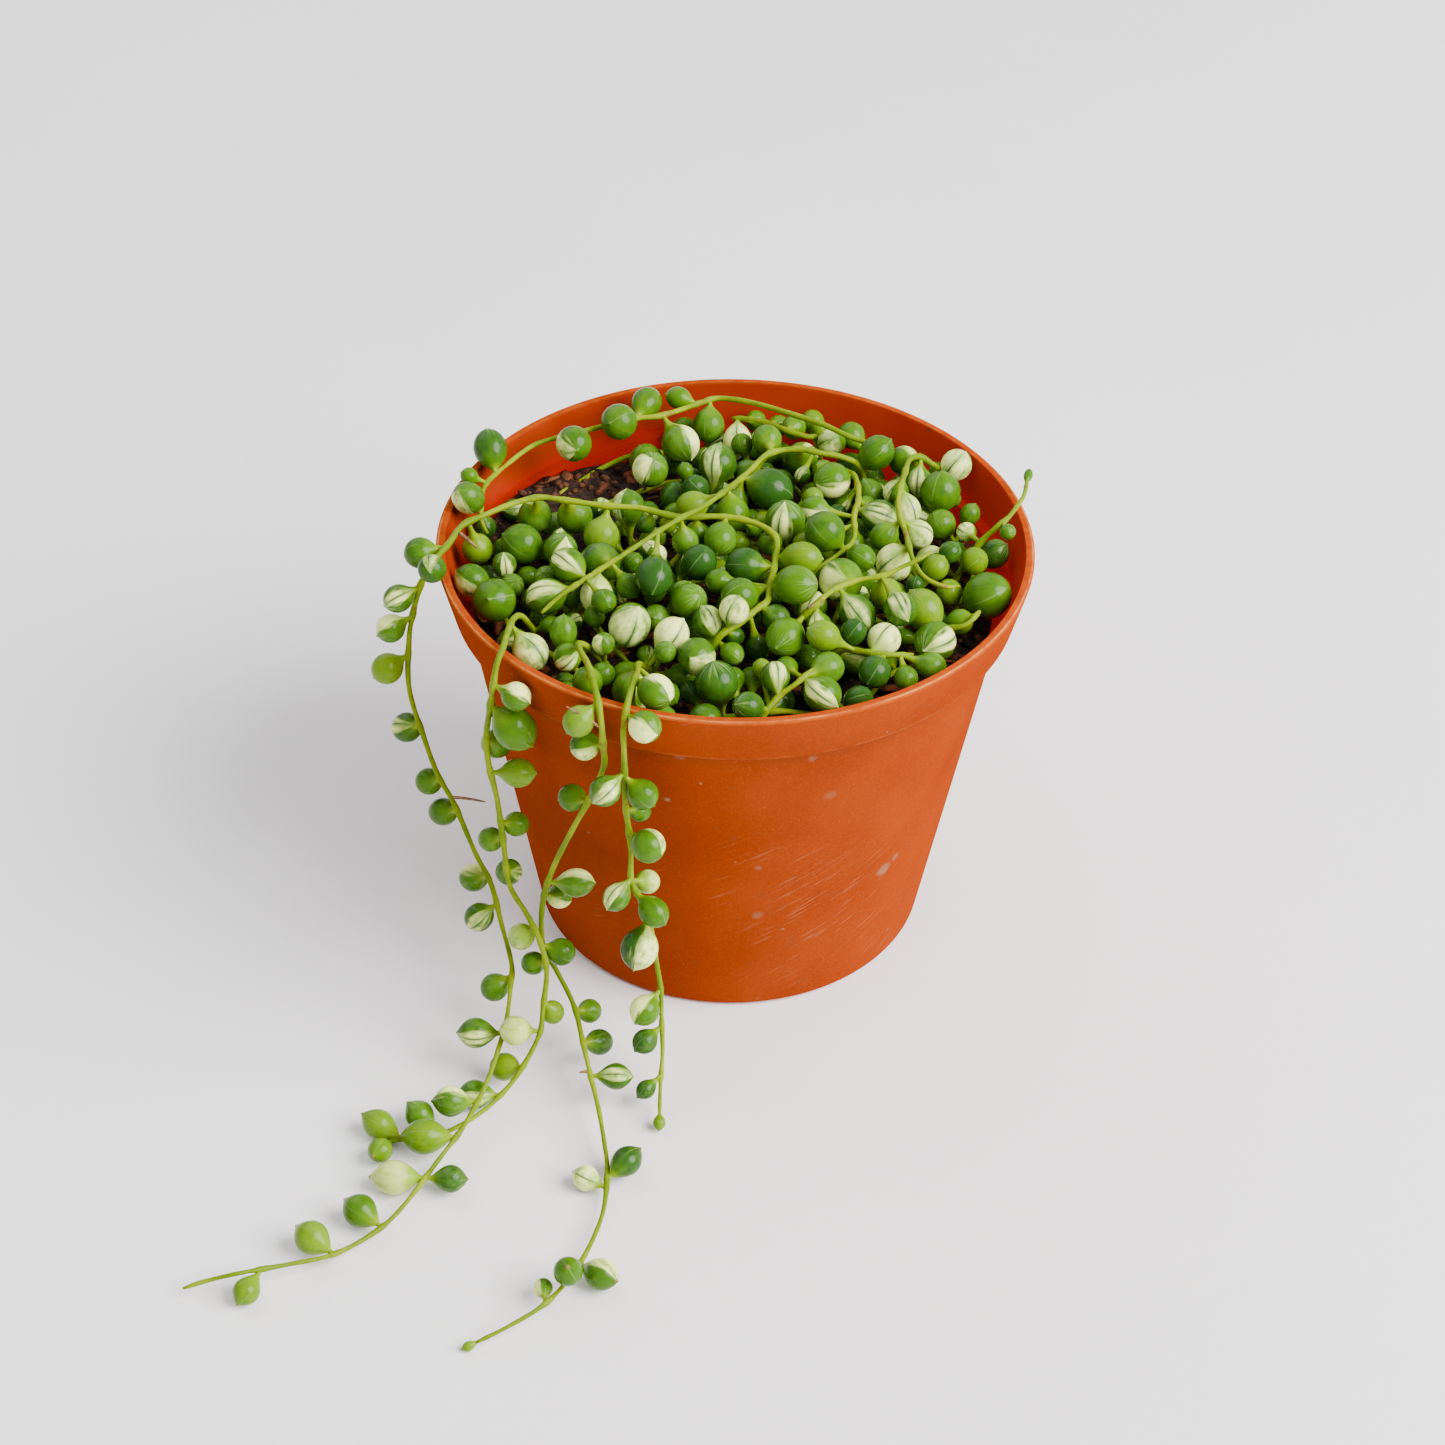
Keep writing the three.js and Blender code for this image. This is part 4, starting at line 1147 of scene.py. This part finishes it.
# %% [markdown]
# The leaves of one stem are one piece, which stands for the same solid as the stem does. The leaves of the
# low stems make two pieces, so that neither gets too heavy. The smaller leaves stand for no solid, and they
# are rounded only once, because they are hardly seen.

# %% Leaf pieces
up_facing = Vector((0, -0.5, 1))


def leaf_bmesh(members):
    bm = bmesh.new()
    bm.verts.layers.float_vector.new("leaf_place")
    bm.verts.layers.float_color.new("leaf_look")
    for leaf in members:
        to_camera = camera_place / mm - Vector(leaf.base)
        hangs = leaf.base[2] < pot_height
        add_leaf(bm, leaf, to_camera if hangs else up_facing)
    bmesh.ops.recalc_face_normals(bm, faces=bm.faces)
    return bm


def leaves_of(members, is_small):
    return [leaf for stem in members for leaf in stem.leaves if leaf.is_small == is_small]


leaf_groups = [(stem.name + "_leaves", [stem]) for stem in laid_stems]
half_way = len(low_stems) // 2
leaf_groups += [("low_leaves_left", low_stems[:half_way]), ("low_leaves_right", low_stems[half_way:])]
leaf_pieces = [add_piece(name, leaf_bmesh(leaves_of(members, False)), names_of(members), 2)
               for name, members in leaf_groups]
small_leaves = leaves_of(stems, True)
leaf_pieces.append(add_piece("small_leaves", leaf_bmesh(small_leaves), levels=1))
print(len(small_leaves), "small leaves;", len(leaf_pieces), "leaf pieces,", faces_of(leaf_pieces), "faces")


# %% [markdown]
# Where a leaf joint has been in the air for long, the plant puts out a thin brown root, and it dries up when
# it finds no soil. A few of them show on the strands. They are swept like the stems, in five steps that sag.

# %% Aerial roots
aerial_roots = [
    ("long_left_strand", 182, "right", 7.5, 0.36),
    ("long_left_strand", 230, "right down", 3.2, 0.4),
    ("long_left_strand", 118, "right front", 6, 0.42),
    ("middle_strand", 47, "left up", 9.5, 0.3),
    ("middle_strand", 145, "left", 2.2, 0.4),
    ("across_middle", 23, "left front", 4, 0.36),
    ("left_strand", 53, "right", 2, 0.4),
]
root_steps = (0, 0.25, 0.5, 0.75, 1)
root_sides = 6
root_bm = bmesh.new()
for name, reach, words, length, radius in aerial_roots:
    base = Vector(stems[stem_number[name]].path[reach])
    heading = Vector(heading_of(words))
    sag = Vector((0, 0, -0.16 * length))
    places = [base + heading * length * t + sag * t * t for t in root_steps]
    sweep(root_bm, places, [radius * (1.3 - 0.7 * t) for t in root_steps], root_sides)
bmesh.ops.recalc_face_normals(root_bm, faces=root_bm.faces)
roots = add_piece("aerial_roots", root_bm, levels=1)
print(len(aerial_roots), "aerial roots")


# %% [markdown]
# ## Finishes
#
# Shader maths reads best as a formula. A small class wraps a node's output, so that a sum or a product of
# two wires adds the Math node. Every other node comes from one method, which takes the node's type, its
# settings and the values or wires of its sockets. Colours and vectors never pass through a Math node,
# because that would turn them grey.

# %% A wire that can be calculated with
class Wire:
    """The output of a node."""

    def __init__(self, socket):
        self.socket = socket

    def node(self, kind, settings, inputs, output=0):
        """Adds a node: first its settings, then the values or wires of its sockets."""
        tree = self.socket.id_data
        made = tree.nodes.new("ShaderNode" + kind)
        for name, value in settings.items():
            setattr(made, name, value)
        for name, value in inputs.items():
            if isinstance(value, Wire):
                tree.links.new(value.socket, made.inputs[name])
            else:
                made.inputs[name].default_value = value
        return Wire(made.outputs[output])

    def other_output(self, name):
        """Another output of the same node."""
        return Wire(self.socket.node.outputs[name])

    def maths(self, operation, *others):
        return self.node("Math", {"operation": operation}, dict(enumerate((self, *others))))

    def __add__(self, other):
        return self.maths("ADD", other)

    def __sub__(self, other):
        return self.maths("SUBTRACT", other)

    def __rsub__(self, other):
        return self.node("Math", {"operation": "SUBTRACT"}, {0: other, 1: self})

    def __mul__(self, other):
        return self.maths("MULTIPLY", other)

    def __abs__(self):
        return self.maths("ABSOLUTE")

    __radd__ = __add__
    __rmul__ = __mul__

    def step(self, low, high):
        """0 below low, 1 above high, and smooth between them."""
        inputs = {"Value": self, "From Min": low, "From Max": high}
        return self.node("MapRange", {"interpolation_type": "SMOOTHSTEP"}, inputs)

    def blend(self, below, above):
        """A colour between two colours, with this wire as the share of the second.

        A Mix node for colours has them at its sockets 6 and 7, and the result at its output 2.
        """
        below, above = [(*colour, 1) if isinstance(colour, tuple) else colour for colour in (below, above)]
        return self.node("Mix", {"data_type": "RGBA"}, {0: self, 6: below, 7: above}, 2)

    def vector(self, operation, *others, output=0):
        return self.node("VectorMath", {"operation": operation}, dict(enumerate((self, *others))), output)

    def scaled(self, x, y, z):
        return self.vector("MULTIPLY", (x, y, z))

    def distance_to(self, centre):
        return self.vector("DISTANCE", centre, output="Value")

    def parts(self):
        return [self.node("SeparateXYZ", {}, {0: self}, axis) for axis in range(3)]

    def noise(self, scale, detail=3.0, roughness=0.5):
        inputs = {"Vector": self, "Scale": scale, "Detail": detail, "Roughness": roughness}
        return self.node("TexNoise", {}, inputs)

    def cells(self, scale):
        """How far a place is from the nearest of many scattered points."""
        return self.node("TexVoronoi", {}, {"Vector": self, "Scale": scale, "Randomness": 1.0})

    def bump(self, strength, depth=0.0003):
        return self.node("Bump", {}, {"Height": self, "Strength": strength, "Distance": depth})


# %% [markdown]
# Every material starts in the same way, with the place on the object in millimetres, and ends in one
# Principled shader. So both ends are written once.

# %% Start and finish of a material
def start_material(name):
    """A new material, and a wire with the place on the object in millimetres."""
    material = bpy.data.materials.new(name)
    material.use_nodes = True
    material.node_tree.nodes.clear()
    coordinates = material.node_tree.nodes.new("ShaderNodeTexCoord")
    return material, Wire(coordinates.outputs["Object"]).scaled(1 / mm, 1 / mm, 1 / mm)


def finish_material(material, place, inputs):
    """Closes the material with a Principled shader that has these inputs."""
    shader = place.node("BsdfPrincipled", {}, inputs)
    output = material.node_tree.nodes.new("ShaderNodeOutputMaterial")
    material.node_tree.links.new(shader.socket, output.inputs["Surface"])
    return material


def give(pieces, material):
    """Puts the material on the pieces."""
    for piece in pieces:
        piece.data.materials.clear()
        piece.data.materials.append(material)
    print(material.name + ":", len(material.node_tree.nodes), "nodes on", len(pieces), "pieces")


# %% [markdown]
# ### The skin of the leaves
#
# Painting 320 leaves by hand is out of the question, and an image would need a seam on each of them. So all
# of it is worked out from the leaf's own place, stored at its corners: the angle round its axis and the
# height along it. Streaks are noise that is drawn out along the lines from stalk to point.

# %% Where a point is on its leaf
class LeafPoint:
    """The place of a point on its own leaf, and the patterns that run over the leaf."""

    def __init__(self, place):
        self.here = place.node("Attribute", {"attribute_name": "leaf_place"}, {}, "Vector")
        look = place.node("Attribute", {"attribute_name": "leaf_look"}, {}, "Color")
        self.cream_share, self.slit, self.tone = [
            look.node("SeparateColor", {}, {0: look}, channel) for channel in range(3)]
        self.seed = look.other_output("Alpha")
        self.x, self.y, self.z = self.here.parts()
        self.near_stalk = 1 - self.z.step(-1.0, -0.3)
        self.near_tip = self.z.step(0.2, 1.0)
        self.front = self.x.step(-0.05, 0.3)
        self.broad = self.streaks(2.2, 0.5, 2.0)
        self.fine = self.streaks(9, 0.15, 1.0)
        self.mottle = self.here.vector("ADD", self.seed * 23).noise(1.6, 4.0, 0.6) - 0.5

    def streaks(self, across, along, detail):
        out_x, out_y, _ = self.here.scaled(1, 1, 0).vector("NORMALIZE").parts()
        drawn_out = {0: out_x * across, 1: out_y * across, 2: self.z * along + self.seed * 40}
        return self.here.node("CombineXYZ", {}, drawn_out).noise(1.0, detail, 0.6) - 0.5


# %% [markdown]
# The green runs from deep to lime with the tone of the leaf, and it is lighter near the stalk. Some leaves
# have a silvery haze, some have pale rays at the point, and some a pale line down the face. The seed of a
# leaf says which. One green for all would make the mat look like moulded plastic.

# %% Green of a leaf
deep_green = (0.018, 0.065, 0.006)
mid_green = (0.065, 0.163, 0.001)
lime_green = (0.14, 0.24, 0.0)
silver_green = (0.15, 0.27, 0.05)
ray_green = (0.24, 0.38, 0.1)
line_green = (0.26, 0.38, 0.12)


def leaf_green(spot):
    shade = spot.tone + spot.mottle * 0.6 + spot.near_stalk * 0.25 + spot.fine * 0.16
    green = shade.step(0.0, 0.55).blend(deep_green, mid_green)
    green = shade.step(0.45, 1.0).blend(green, lime_green)
    has_haze = spot.seed.step(0.3, 0.45) * (1 - spot.seed.step(0.7, 0.85))
    haze = (spot.broad * 1.6 + spot.mottle + 0.15).step(-0.1, 0.6) * has_haze
    green = (haze * 0.28).blend(green, silver_green)
    rays = (spot.fine + spot.broad * 0.6 + spot.near_tip * 0.2).step(0.16, 0.34)
    rays = rays * spot.near_tip * spot.seed.step(0.55, 0.7)
    green = (rays * 0.45).blend(green, ray_green)
    line = (0.02 - abs(spot.y)).step(-0.03, 0.01) * spot.front * spot.z.step(-0.6, 0.6)
    line = line * (1 - spot.seed.step(0.45, 0.6))
    return (line * 0.28).blend(green, line_green)


# %% [markdown]
# Where the plant is variegated, the green layer is missing in a sector and the cream shows. It is minty
# where a little green is left, and lime towards the stalk. The slit is the window that lets light into the
# leaf: a narrow dark lens down the face, with a paler green round it.

# %% Cream and slit of a leaf
full_cream = (0.78, 0.88, 0.26)
mint = (0.11, 0.22, 0.03)
limy_cream = (0.22, 0.35, 0.02)
halo_green = (0.13, 0.25, 0.05)
slit_green = (0.02, 0.06, 0.018)


def leaf_cream(spot):
    green_left = spot.mottle * 1.8 + spot.fine * 0.25 + spot.broad * 0.9 + spot.near_tip * 0.15
    cream = (green_left + 0.25 - spot.seed * 0.5).step(-0.2, 0.7).blend(full_cream, mint)
    limy = spot.near_stalk * 0.6 + spot.tone.step(0.75, 0.9) * 0.5
    return limy.blend(cream, limy_cream)


def with_slit(spot, skin):
    half_width = 0.06 - spot.z * spot.z * 0.06
    on_face = spot.front * spot.slit
    halo = (half_width - abs(spot.y + spot.broad * 0.2)).step(-0.25, 0.02) * on_face
    window = (half_width - abs(spot.y + spot.broad * 0.12)).step(-0.03, 0.03) * on_face
    skin = (halo * 0.55).blend(skin, halo_green)
    return (window * 0.85).blend(skin, slit_green)


# %% [markdown]
# Both colours meet along a ragged edge: the angle from the middle of the cream, torn by the streaks. The
# stalk is the colour of the stem, the point is dry, and here and there is a corky scar. The skin is waxy,
# so it has a low, soft gloss, and a little light passes through it.

# %% Leaf skin
stalk_green = (0.17, 0.26, 0.0)
dry_point = (0.2, 0.12, 0.04)
cork = (0.2, 0.12, 0.05)


def leaf_skin():
    material, place = start_material("leaf_skin")
    spot = LeafPoint(place)
    around = abs(spot.y.maths("ARCTAN2", spot.x)) * (1 / math.pi)
    edge = spot.cream_share + spot.broad * 0.5 + spot.fine * 0.06 + spot.mottle * 0.1 - around
    in_cream = edge.step(-0.06, 0.08) * spot.cream_share.step(0.02, 0.1)
    skin = with_slit(spot, in_cream.blend(leaf_green(spot), leaf_cream(spot)))
    skin = (1 - spot.z.step(-1.3, -0.9)).blend(skin, stalk_green)
    point = spot.z.step(1.1, 1.22)
    skin = (point * 0.8).blend(skin, dry_point)
    scar = (spot.here.noise(1.1, 2.0) + spot.seed * 0.2).step(0.88, 0.92) * spot.seed.step(0.9, 0.94)
    skin = (scar * 0.7).blend(skin, cork)
    return finish_material(material, place, {
        "Base Color": skin,
        "Roughness": 0.2 + spot.mottle * 0.1 + scar * 0.35 + point * 0.3,
        "Specular IOR Level": 0.15,
        "Subsurface Weight": 0.15,
        "Subsurface Radius": (0.9, 1.0, 0.1),
        "Subsurface Scale": 0.001,
        "Normal": place.noise(0.5, 2.0).bump(0.08),
    })


give(leaf_pieces, leaf_skin())


# %% [markdown]
# ### Stems and dry roots
#
# A young stem is yellow green. Where it is old it turns woody, in patches, and more so in the mat than
# where it hangs. A dry root is brown all over and has a fine grain.

# %% Stem bark and dry roots
fresh_stem = (0.11, 0.18, 0.0)
sunlit_stem = (0.21, 0.28, 0.0)
woody_stem = (0.16, 0.085, 0.02)
dark_root = (0.11, 0.045, 0.018)
light_root = (0.3, 0.15, 0.06)


def stem_skin():
    material, place = start_material("stem_skin")
    slow = place.noise(0.09, 2.0)
    quick = place.noise(0.9, 3.0)
    fresh = (slow * 0.7 + quick * 0.3).step(0.38, 0.62).blend(fresh_stem, sunlit_stem)
    in_mat = place.parts()[2].step(soil_level - 0.5, soil_level + 7.5)
    woody = place.noise(0.16, 4.0, 0.7).step(0.58, 0.68) * (0.25 + in_mat * 0.75)
    return finish_material(material, place, {
        "Base Color": (woody * 0.75).blend(fresh, woody_stem),
        "Roughness": 0.42 + woody * 0.25,
        "Specular IOR Level": 0.08,
        "Subsurface Weight": 0.1,
        "Subsurface Radius": (0.9, 1.0, 0.25),
        "Subsurface Scale": 0.001,
        "Normal": (quick + woody).bump(0.3),
    })


def root_skin():
    material, place = start_material("root_skin")
    grain = place.noise(0.8, 4.0, 0.7)
    return finish_material(material, place, {
        "Base Color": grain.step(0.4, 0.6).blend(dark_root, light_root),
        "Roughness": 0.7 + grain * 0.2,
        "Normal": grain.bump(0.5),
    })


give(stem_pieces, stem_skin())
give([roots], root_skin())


# %% [markdown]
# ### The plastic of the pot
#
# The pot is coloured through. Its inside is cleaner, and it is painted redder: painted light, for the light
# that comes through the wall. To know where it is, a point compares its distance from the axis with the
# slope of the wall at its height.
# Marks on the outside are laid out on the unrolled wall, as a label would be: arc length across, height up.

# %% Where a point is on the pot
wall_radius = 48


class PotPoint:
    """The place of a point on the pot, and the patterns that several marks share."""

    def __init__(self, place):
        self.place = place
        self.x, self.y, self.z = place.parts()
        self.radius = (self.x * self.x + self.y * self.y).maths("SQRT")
        wall_slope = (body_top_radius - foot_radius) / band_foot
        band_slope = (rim_radius - band_foot_radius) / band_height
        wall_line = foot_radius - wall / 2 + self.z * wall_slope
        band_line = band_foot_radius - band_wall / 2 + (self.z - band_foot) * band_slope
        above_ledge = self.z.step(band_foot + 0.3, band_foot + 0.5)
        inside_band = above_ledge * (band_line - self.radius).step(0.0, 0.2)
        self.inner = (wall_line - self.radius).step(0.0, 0.2).maths("MAXIMUM", inside_band)
        self.outer = 1 - self.inner
        self.low_wall = 1 - self.z.step(soil_level + 2, soil_level + 8)
        self.grain = place.noise(1.4, 5.0, 0.65)
        arc = self.y.maths("ARCTAN2", self.x) * wall_radius
        self.unrolled = place.node("CombineXYZ", {}, {0: arc, 1: self.z})


# %% [markdown]
# A moulded colour is never quite even: a slow cloud and a fine grain run through it. The inside wall just
# above the soil is painted the reddest, as painted light that comes through the wall, and at the right more
# light shines through it. A weak painted glow of the plastic imitates that, since a wall that really let
# light through would make the picture slow and grainy.

# %% Bare plastic
outer_orange = ((0.22, 0.027, 0.003), (0.265, 0.037, 0.004))
# Painted light: the inside colours are redder than the outside ones, and the low red redder still, for light
# that comes through the wall.
inner_orange = ((0.2, 0.016, 0.002), (0.24, 0.024, 0.003))
painted_through_light_red = (0.36, 0.004, 0)
glow_red = (0.17, 0.001, 0)


def bare_plastic(spot):
    cloud = spot.place.noise(0.045, 3.0)
    outside = (cloud * 0.6 + spot.grain * 0.4).step(0.35, 0.65).blend(*outer_orange)
    inside = cloud.step(0.35, 0.65).blend(*inner_orange)
    # Painted light: the inside wall just above the soil turns red, for light that comes through it.
    inside = (spot.low_wall * 0.9).blend(inside, painted_through_light_red)
    return spot.inner.blend(outside, inside)


# Painted light: a glow of the inside wall, strongest at the right and above the soil, for light that comes
# through it.
def glow_through(spot):
    glow = (0.7 + spot.low_wall * 0.3) * spot.inner * spot.x.step(-20, 45)
    return glow.blend((0, 0, 0), glow_red)


# %% [markdown]
# The outside is scuffed where it was slid into trays, with fine lines that run up to the right. It has dots
# of dried lime: many small ones that fall by chance, and a few larger ones whose places are known. Each of
# these is a ragged disk on the unrolled wall, given by its turn, height, size and strength.

# %% Scratches and lime
rubbed_place = (math.radians(-68) * wall_radius, 32, 0)
scratch_lean = -0.5
wall_marks = [
    (-48, 33, 2.5, 0.75), (-44.5, 35, 1.7, 0.6), (-82.7, 30, 1.9, 0.4), (-100.3, 77, 1.6, 0.35),
    (-73.6, 76, 1.5, 0.4), (-68.5, 64, 2.0, 0.18), (-83.4, 45, 1.4, 0.35), (-103.5, 64, 1.2, 1),
]


def scratches_on(spot):
    turned = {"Vector": spot.unrolled, "Angle": scratch_lean}
    tilted = spot.place.node("VectorRotate", {"rotation_type": "Z_AXIS"}, turned)
    lines = tilted.scaled(0.09, 1.5, 1).noise(1.0, 4.0, 0.6).step(0.56, 0.7)
    rubbed = 1 - spot.unrolled.distance_to(rubbed_place).step(3, 24)
    patches = spot.place.noise(0.035, 2.0).step(0.5, 0.65) * 0.5
    return lines * rubbed.maths("MAXIMUM", patches)


def lime_on(spot):
    patches = spot.place.noise(0.06, 2.0).step(0.45, 0.55)
    lime = (1 - spot.place.cells(0.16).step(0.035, 0.07)) * patches * spot.outer
    for turn, height, size, strength in wall_marks:
        middle = (math.radians(turn) * wall_radius, height, 0)
        ragged = spot.unrolled.distance_to(middle) + spot.grain * 2.5
        mark = 1 - ragged.step(size - 0.2, size + 0.9)
        lime = (lime * 0.9).maths("MAXIMUM", mark * spot.outer * strength)
    return lime


# %% [markdown]
# Dust lies in patches on the outside, and a narrow ring under the band is darkened as painted shade. A pale
# line along the foot of the band is a painted highlight. The top of the lip is a lighter orange in patches,
# and a paler line on its outer edge is part wear and part painted highlight. One chip in the rim shows dirt.
# Each of these is a mask, and each mask mixes one colour into the plastic.

# %% Dust, painted shade and highlights, and the rim
# This pale colours both the mould specks and the painted highlight at the foot of the band.
pale_plastic = (0.42, 0.1, 0.02)
scratch_pink = (0.46, 0.17, 0.08)
dust_and_shade_brown = (0.14, 0.045, 0.02)
lime_grey = (0.22, 0.23, 0.16)
lip_orange = (0.34, 0.06, 0.004)
edge_wear_and_highlight_orange = (0.55, 0.2, 0.05)
dirt = (0.05, 0.035, 0.02)
rim_chip = (40, 41, 90.2)


def dust_on(spot):
    return spot.place.noise(0.25, 5.0, 0.7).step(0.58, 0.7) * spot.outer


# Painted shade: a narrow ring of the outside wall just under the band is darkened.
def shade_below_band(spot):
    above_foot = spot.z - band_foot
    return (above_foot + 3).step(-3.0, 1.5) * (1 - above_foot.step(0.0, 0.4)) * spot.outer


def specks_and_band_highlight(spot):
    # Painted highlight: a pale line, broken up by noise, along the foot of the band.
    band_highlight = (0.5 - abs(spot.z - band_foot - 0.2)).step(0.0, 0.5)
    band_highlight = band_highlight * (spot.radius - body_top_radius).step(1.0, 1.6)
    band_highlight = band_highlight * spot.place.noise(0.12, 4.0, 0.7).step(0.35, 0.65)
    specks = spot.place.noise(2.6, 2.0).step(0.6, 0.72) * spot.outer
    return specks * 0.3 + band_highlight * 0.4


def with_rim_wear_and_highlight(spot, plastic):
    # The top of the lip is painted a lighter orange in patches.
    lip = (spot.z - pot_height + 0.75).step(0.0, 0.45)
    lip = lip * (spot.radius - rim_radius + lip_width + 0.2).step(0.0, 0.3)
    rubbed = 0.3 + spot.place.noise(0.5, 4.0, 0.7).step(0.35, 0.65) * 0.5
    plastic = (lip * rubbed).blend(plastic, lip_orange)
    # A paler line along the outer edge of the lip, broken up by noise: part wear, part painted highlight.
    edge = (0.3 - abs(spot.radius - rim_radius + lip_chamfer)).step(0.0, 0.3) * lip
    edge = edge * spot.place.noise(0.11, 5.0, 0.75).step(0.32, 0.62)
    plastic = (edge * 0.85).blend(plastic, edge_wear_and_highlight_orange)
    chip = 1 - (spot.place.distance_to(rim_chip) + spot.grain).step(1.2, 2.0)
    return (chip * 0.85).blend(plastic, dirt)


# %% [markdown]
# The marks lie over each other in this order: specks from the mould with the painted highlight at the foot
# of the band, scratches, dust with the painted shade under the band, lime, and the rim with its lighter
# patches and its edge of wear and painted highlight. Old plastic is dull, so its gloss is turned right down.

# %% Pot plastic
def pot_plastic():
    material, place = start_material("pot_plastic")
    spot = PotPoint(place)
    scratches = scratches_on(spot)
    scuffs = scratches * spot.outer
    dust = dust_on(spot)
    lime = lime_on(spot)
    plastic = specks_and_band_highlight(spot).blend(bare_plastic(spot), pale_plastic)
    plastic = (scuffs * 0.5).blend(plastic, scratch_pink)
    # One brown paints both the random dust and the painted shade under the band.
    plastic = (dust * 0.35 + shade_below_band(spot) * 0.25).blend(plastic, dust_and_shade_brown)
    plastic = with_rim_wear_and_highlight(spot, (lime * 0.8).blend(plastic, lime_grey))
    return finish_material(material, place, {
        "Base Color": plastic,
        "Emission Color": glow_through(spot),
        "Emission Strength": 1.0,
        "Roughness": 0.55 + scuffs * 0.2 + dust * 0.15 + spot.grain * 0.08,
        "Specular IOR Level": 0.0,
        "Normal": (spot.grain * 0.5 + scratches * 0.6 + lime).bump(0.18),
    })


give([pot], pot_plastic())


# %% [markdown]
# ### Soil, crumbs and bark
#
# The mix is nearly black where it is wet and brown where it is dry, with a glint here and there. One
# function makes all three materials. Crumbs and chips also differ from each other, by the tone that each
# chunk stores, and the spread says by how much.

# %% Potting mix
def potting_mix(name, dark, light, scale, spread):
    material, place = start_material(name)
    coarse = place.noise(scale, 5.0, 0.7)
    fine = place.noise(scale * 5, 4.0, 0.7)
    tone = place.node("Attribute", {"attribute_name": "chip_tone"}, {}, "Fac") - 0.5
    wet = (1 - place.cells(1.1).step(0.1, 0.2)) * coarse.step(0.5, 0.6)
    return finish_material(material, place, {
        "Base Color": (coarse * 0.6 + fine * 0.4 + tone * spread).step(0.4, 0.66).blend(dark, light),
        "Roughness": 0.85 - wet * 0.6,
        "Specular IOR Level": 0.2,
        "Normal": (coarse + fine * 0.6).bump(0.9, 0.0006),
    })


wet_soil, dry_soil = (0.007, 0.004, 0.003), (0.05, 0.021, 0.01)
wet_crumb, dry_crumb = (0.008, 0.004, 0.003), (0.1, 0.036, 0.014)
wet_bark, dry_bark = (0.014, 0.006, 0.003), (0.21, 0.065, 0.022)
give([bed], potting_mix("soil_mix", wet_soil, dry_soil, scale=0.5, spread=0))
give([crumbs], potting_mix("crumb_mix", wet_crumb, dry_crumb, scale=0.35, spread=0.25))
give([chips], potting_mix("bark", wet_bark, dry_bark, scale=0.3, spread=0.4))


# %% [markdown]
# ## Floor and light
#
# The pot stands on a plain pale floor, large enough to fill the camera's view. A faint cloud and a low bump
# keep it from looking like blank paper.

# %% Floor
floor_bm = bmesh.new()
bmesh.ops.create_grid(floor_bm, x_segments=1, y_segments=1, size=3000)
floor = new_object("floor", floor_bm)


def floor_finish():
    material, place = start_material("floor_paint")
    return finish_material(material, place, {
        "Base Color": place.noise(0.006, 3.0).step(0.3, 0.7).blend((0.82, 0.79, 0.79), (0.85, 0.82, 0.82)),
        "Roughness": 0.6,
        "Normal": place.noise(0.16, 4.0).bump(0.1, 0.001),
    })


give([floor], floor_finish())


# %% [markdown]
# One large soft window is at the right and a little in front of the pot, so shadows fall softly to the left.
# A weak second one at the left behind the pot lightens them, and a pale sky fills the rest. A small hard
# lamp would give every leaf a sharp highlight that the waxy skin doesn't have.

# %% Lights
def add_window(name, place, size, power, colour):
    data = bpy.data.lights.new(name, "AREA")
    data.shape = "DISK"
    data.size = size
    data.energy = power
    data.color = colour
    lamp = bpy.data.objects.new(name, data)
    bpy.context.scene.collection.objects.link(lamp)
    lamp.location = place
    lamp.rotation_euler = (pot_middle - Vector(place)).to_track_quat("-Z", "Y").to_euler()


pot_middle = Vector((0, 0, 0.05))
add_window("window", (1.0, -0.45, 0.95), 1.2, 70, (1, 0.985, 0.96))
add_window("room_fill", (-0.7, 0.9, 1.2), 1.6, 10, (0.97, 0.98, 1))
world = bpy.data.worlds.new("room")
world.use_nodes = True
background = world.node_tree.nodes["Background"]
background.inputs["Color"].default_value = (0.96, 0.97, 1, 1)
background.inputs["Strength"].default_value = 0.98
bpy.context.scene.world = world


# %% [markdown]
# ## Last checks
# Subdivision multiplies faces, so the meshes are counted as they are rendered, with their modifiers. A piece
# should stay under 200,000 triangles and the whole under two million, or it would be heavy to use again.

# %% Count the triangles
def triangles(piece):
    mesh = piece.evaluated_get(bpy.context.evaluated_depsgraph_get()).to_mesh()
    return sum(len(polygon.vertices) - 2 for polygon in mesh.polygons)


new_pieces = leaf_pieces + stem_pieces + [roots, pot, bed, crumbs, chips]
counts = [triangles(piece) for piece in new_pieces]
print("triangles:", sum(counts), "the largest piece:", max(counts))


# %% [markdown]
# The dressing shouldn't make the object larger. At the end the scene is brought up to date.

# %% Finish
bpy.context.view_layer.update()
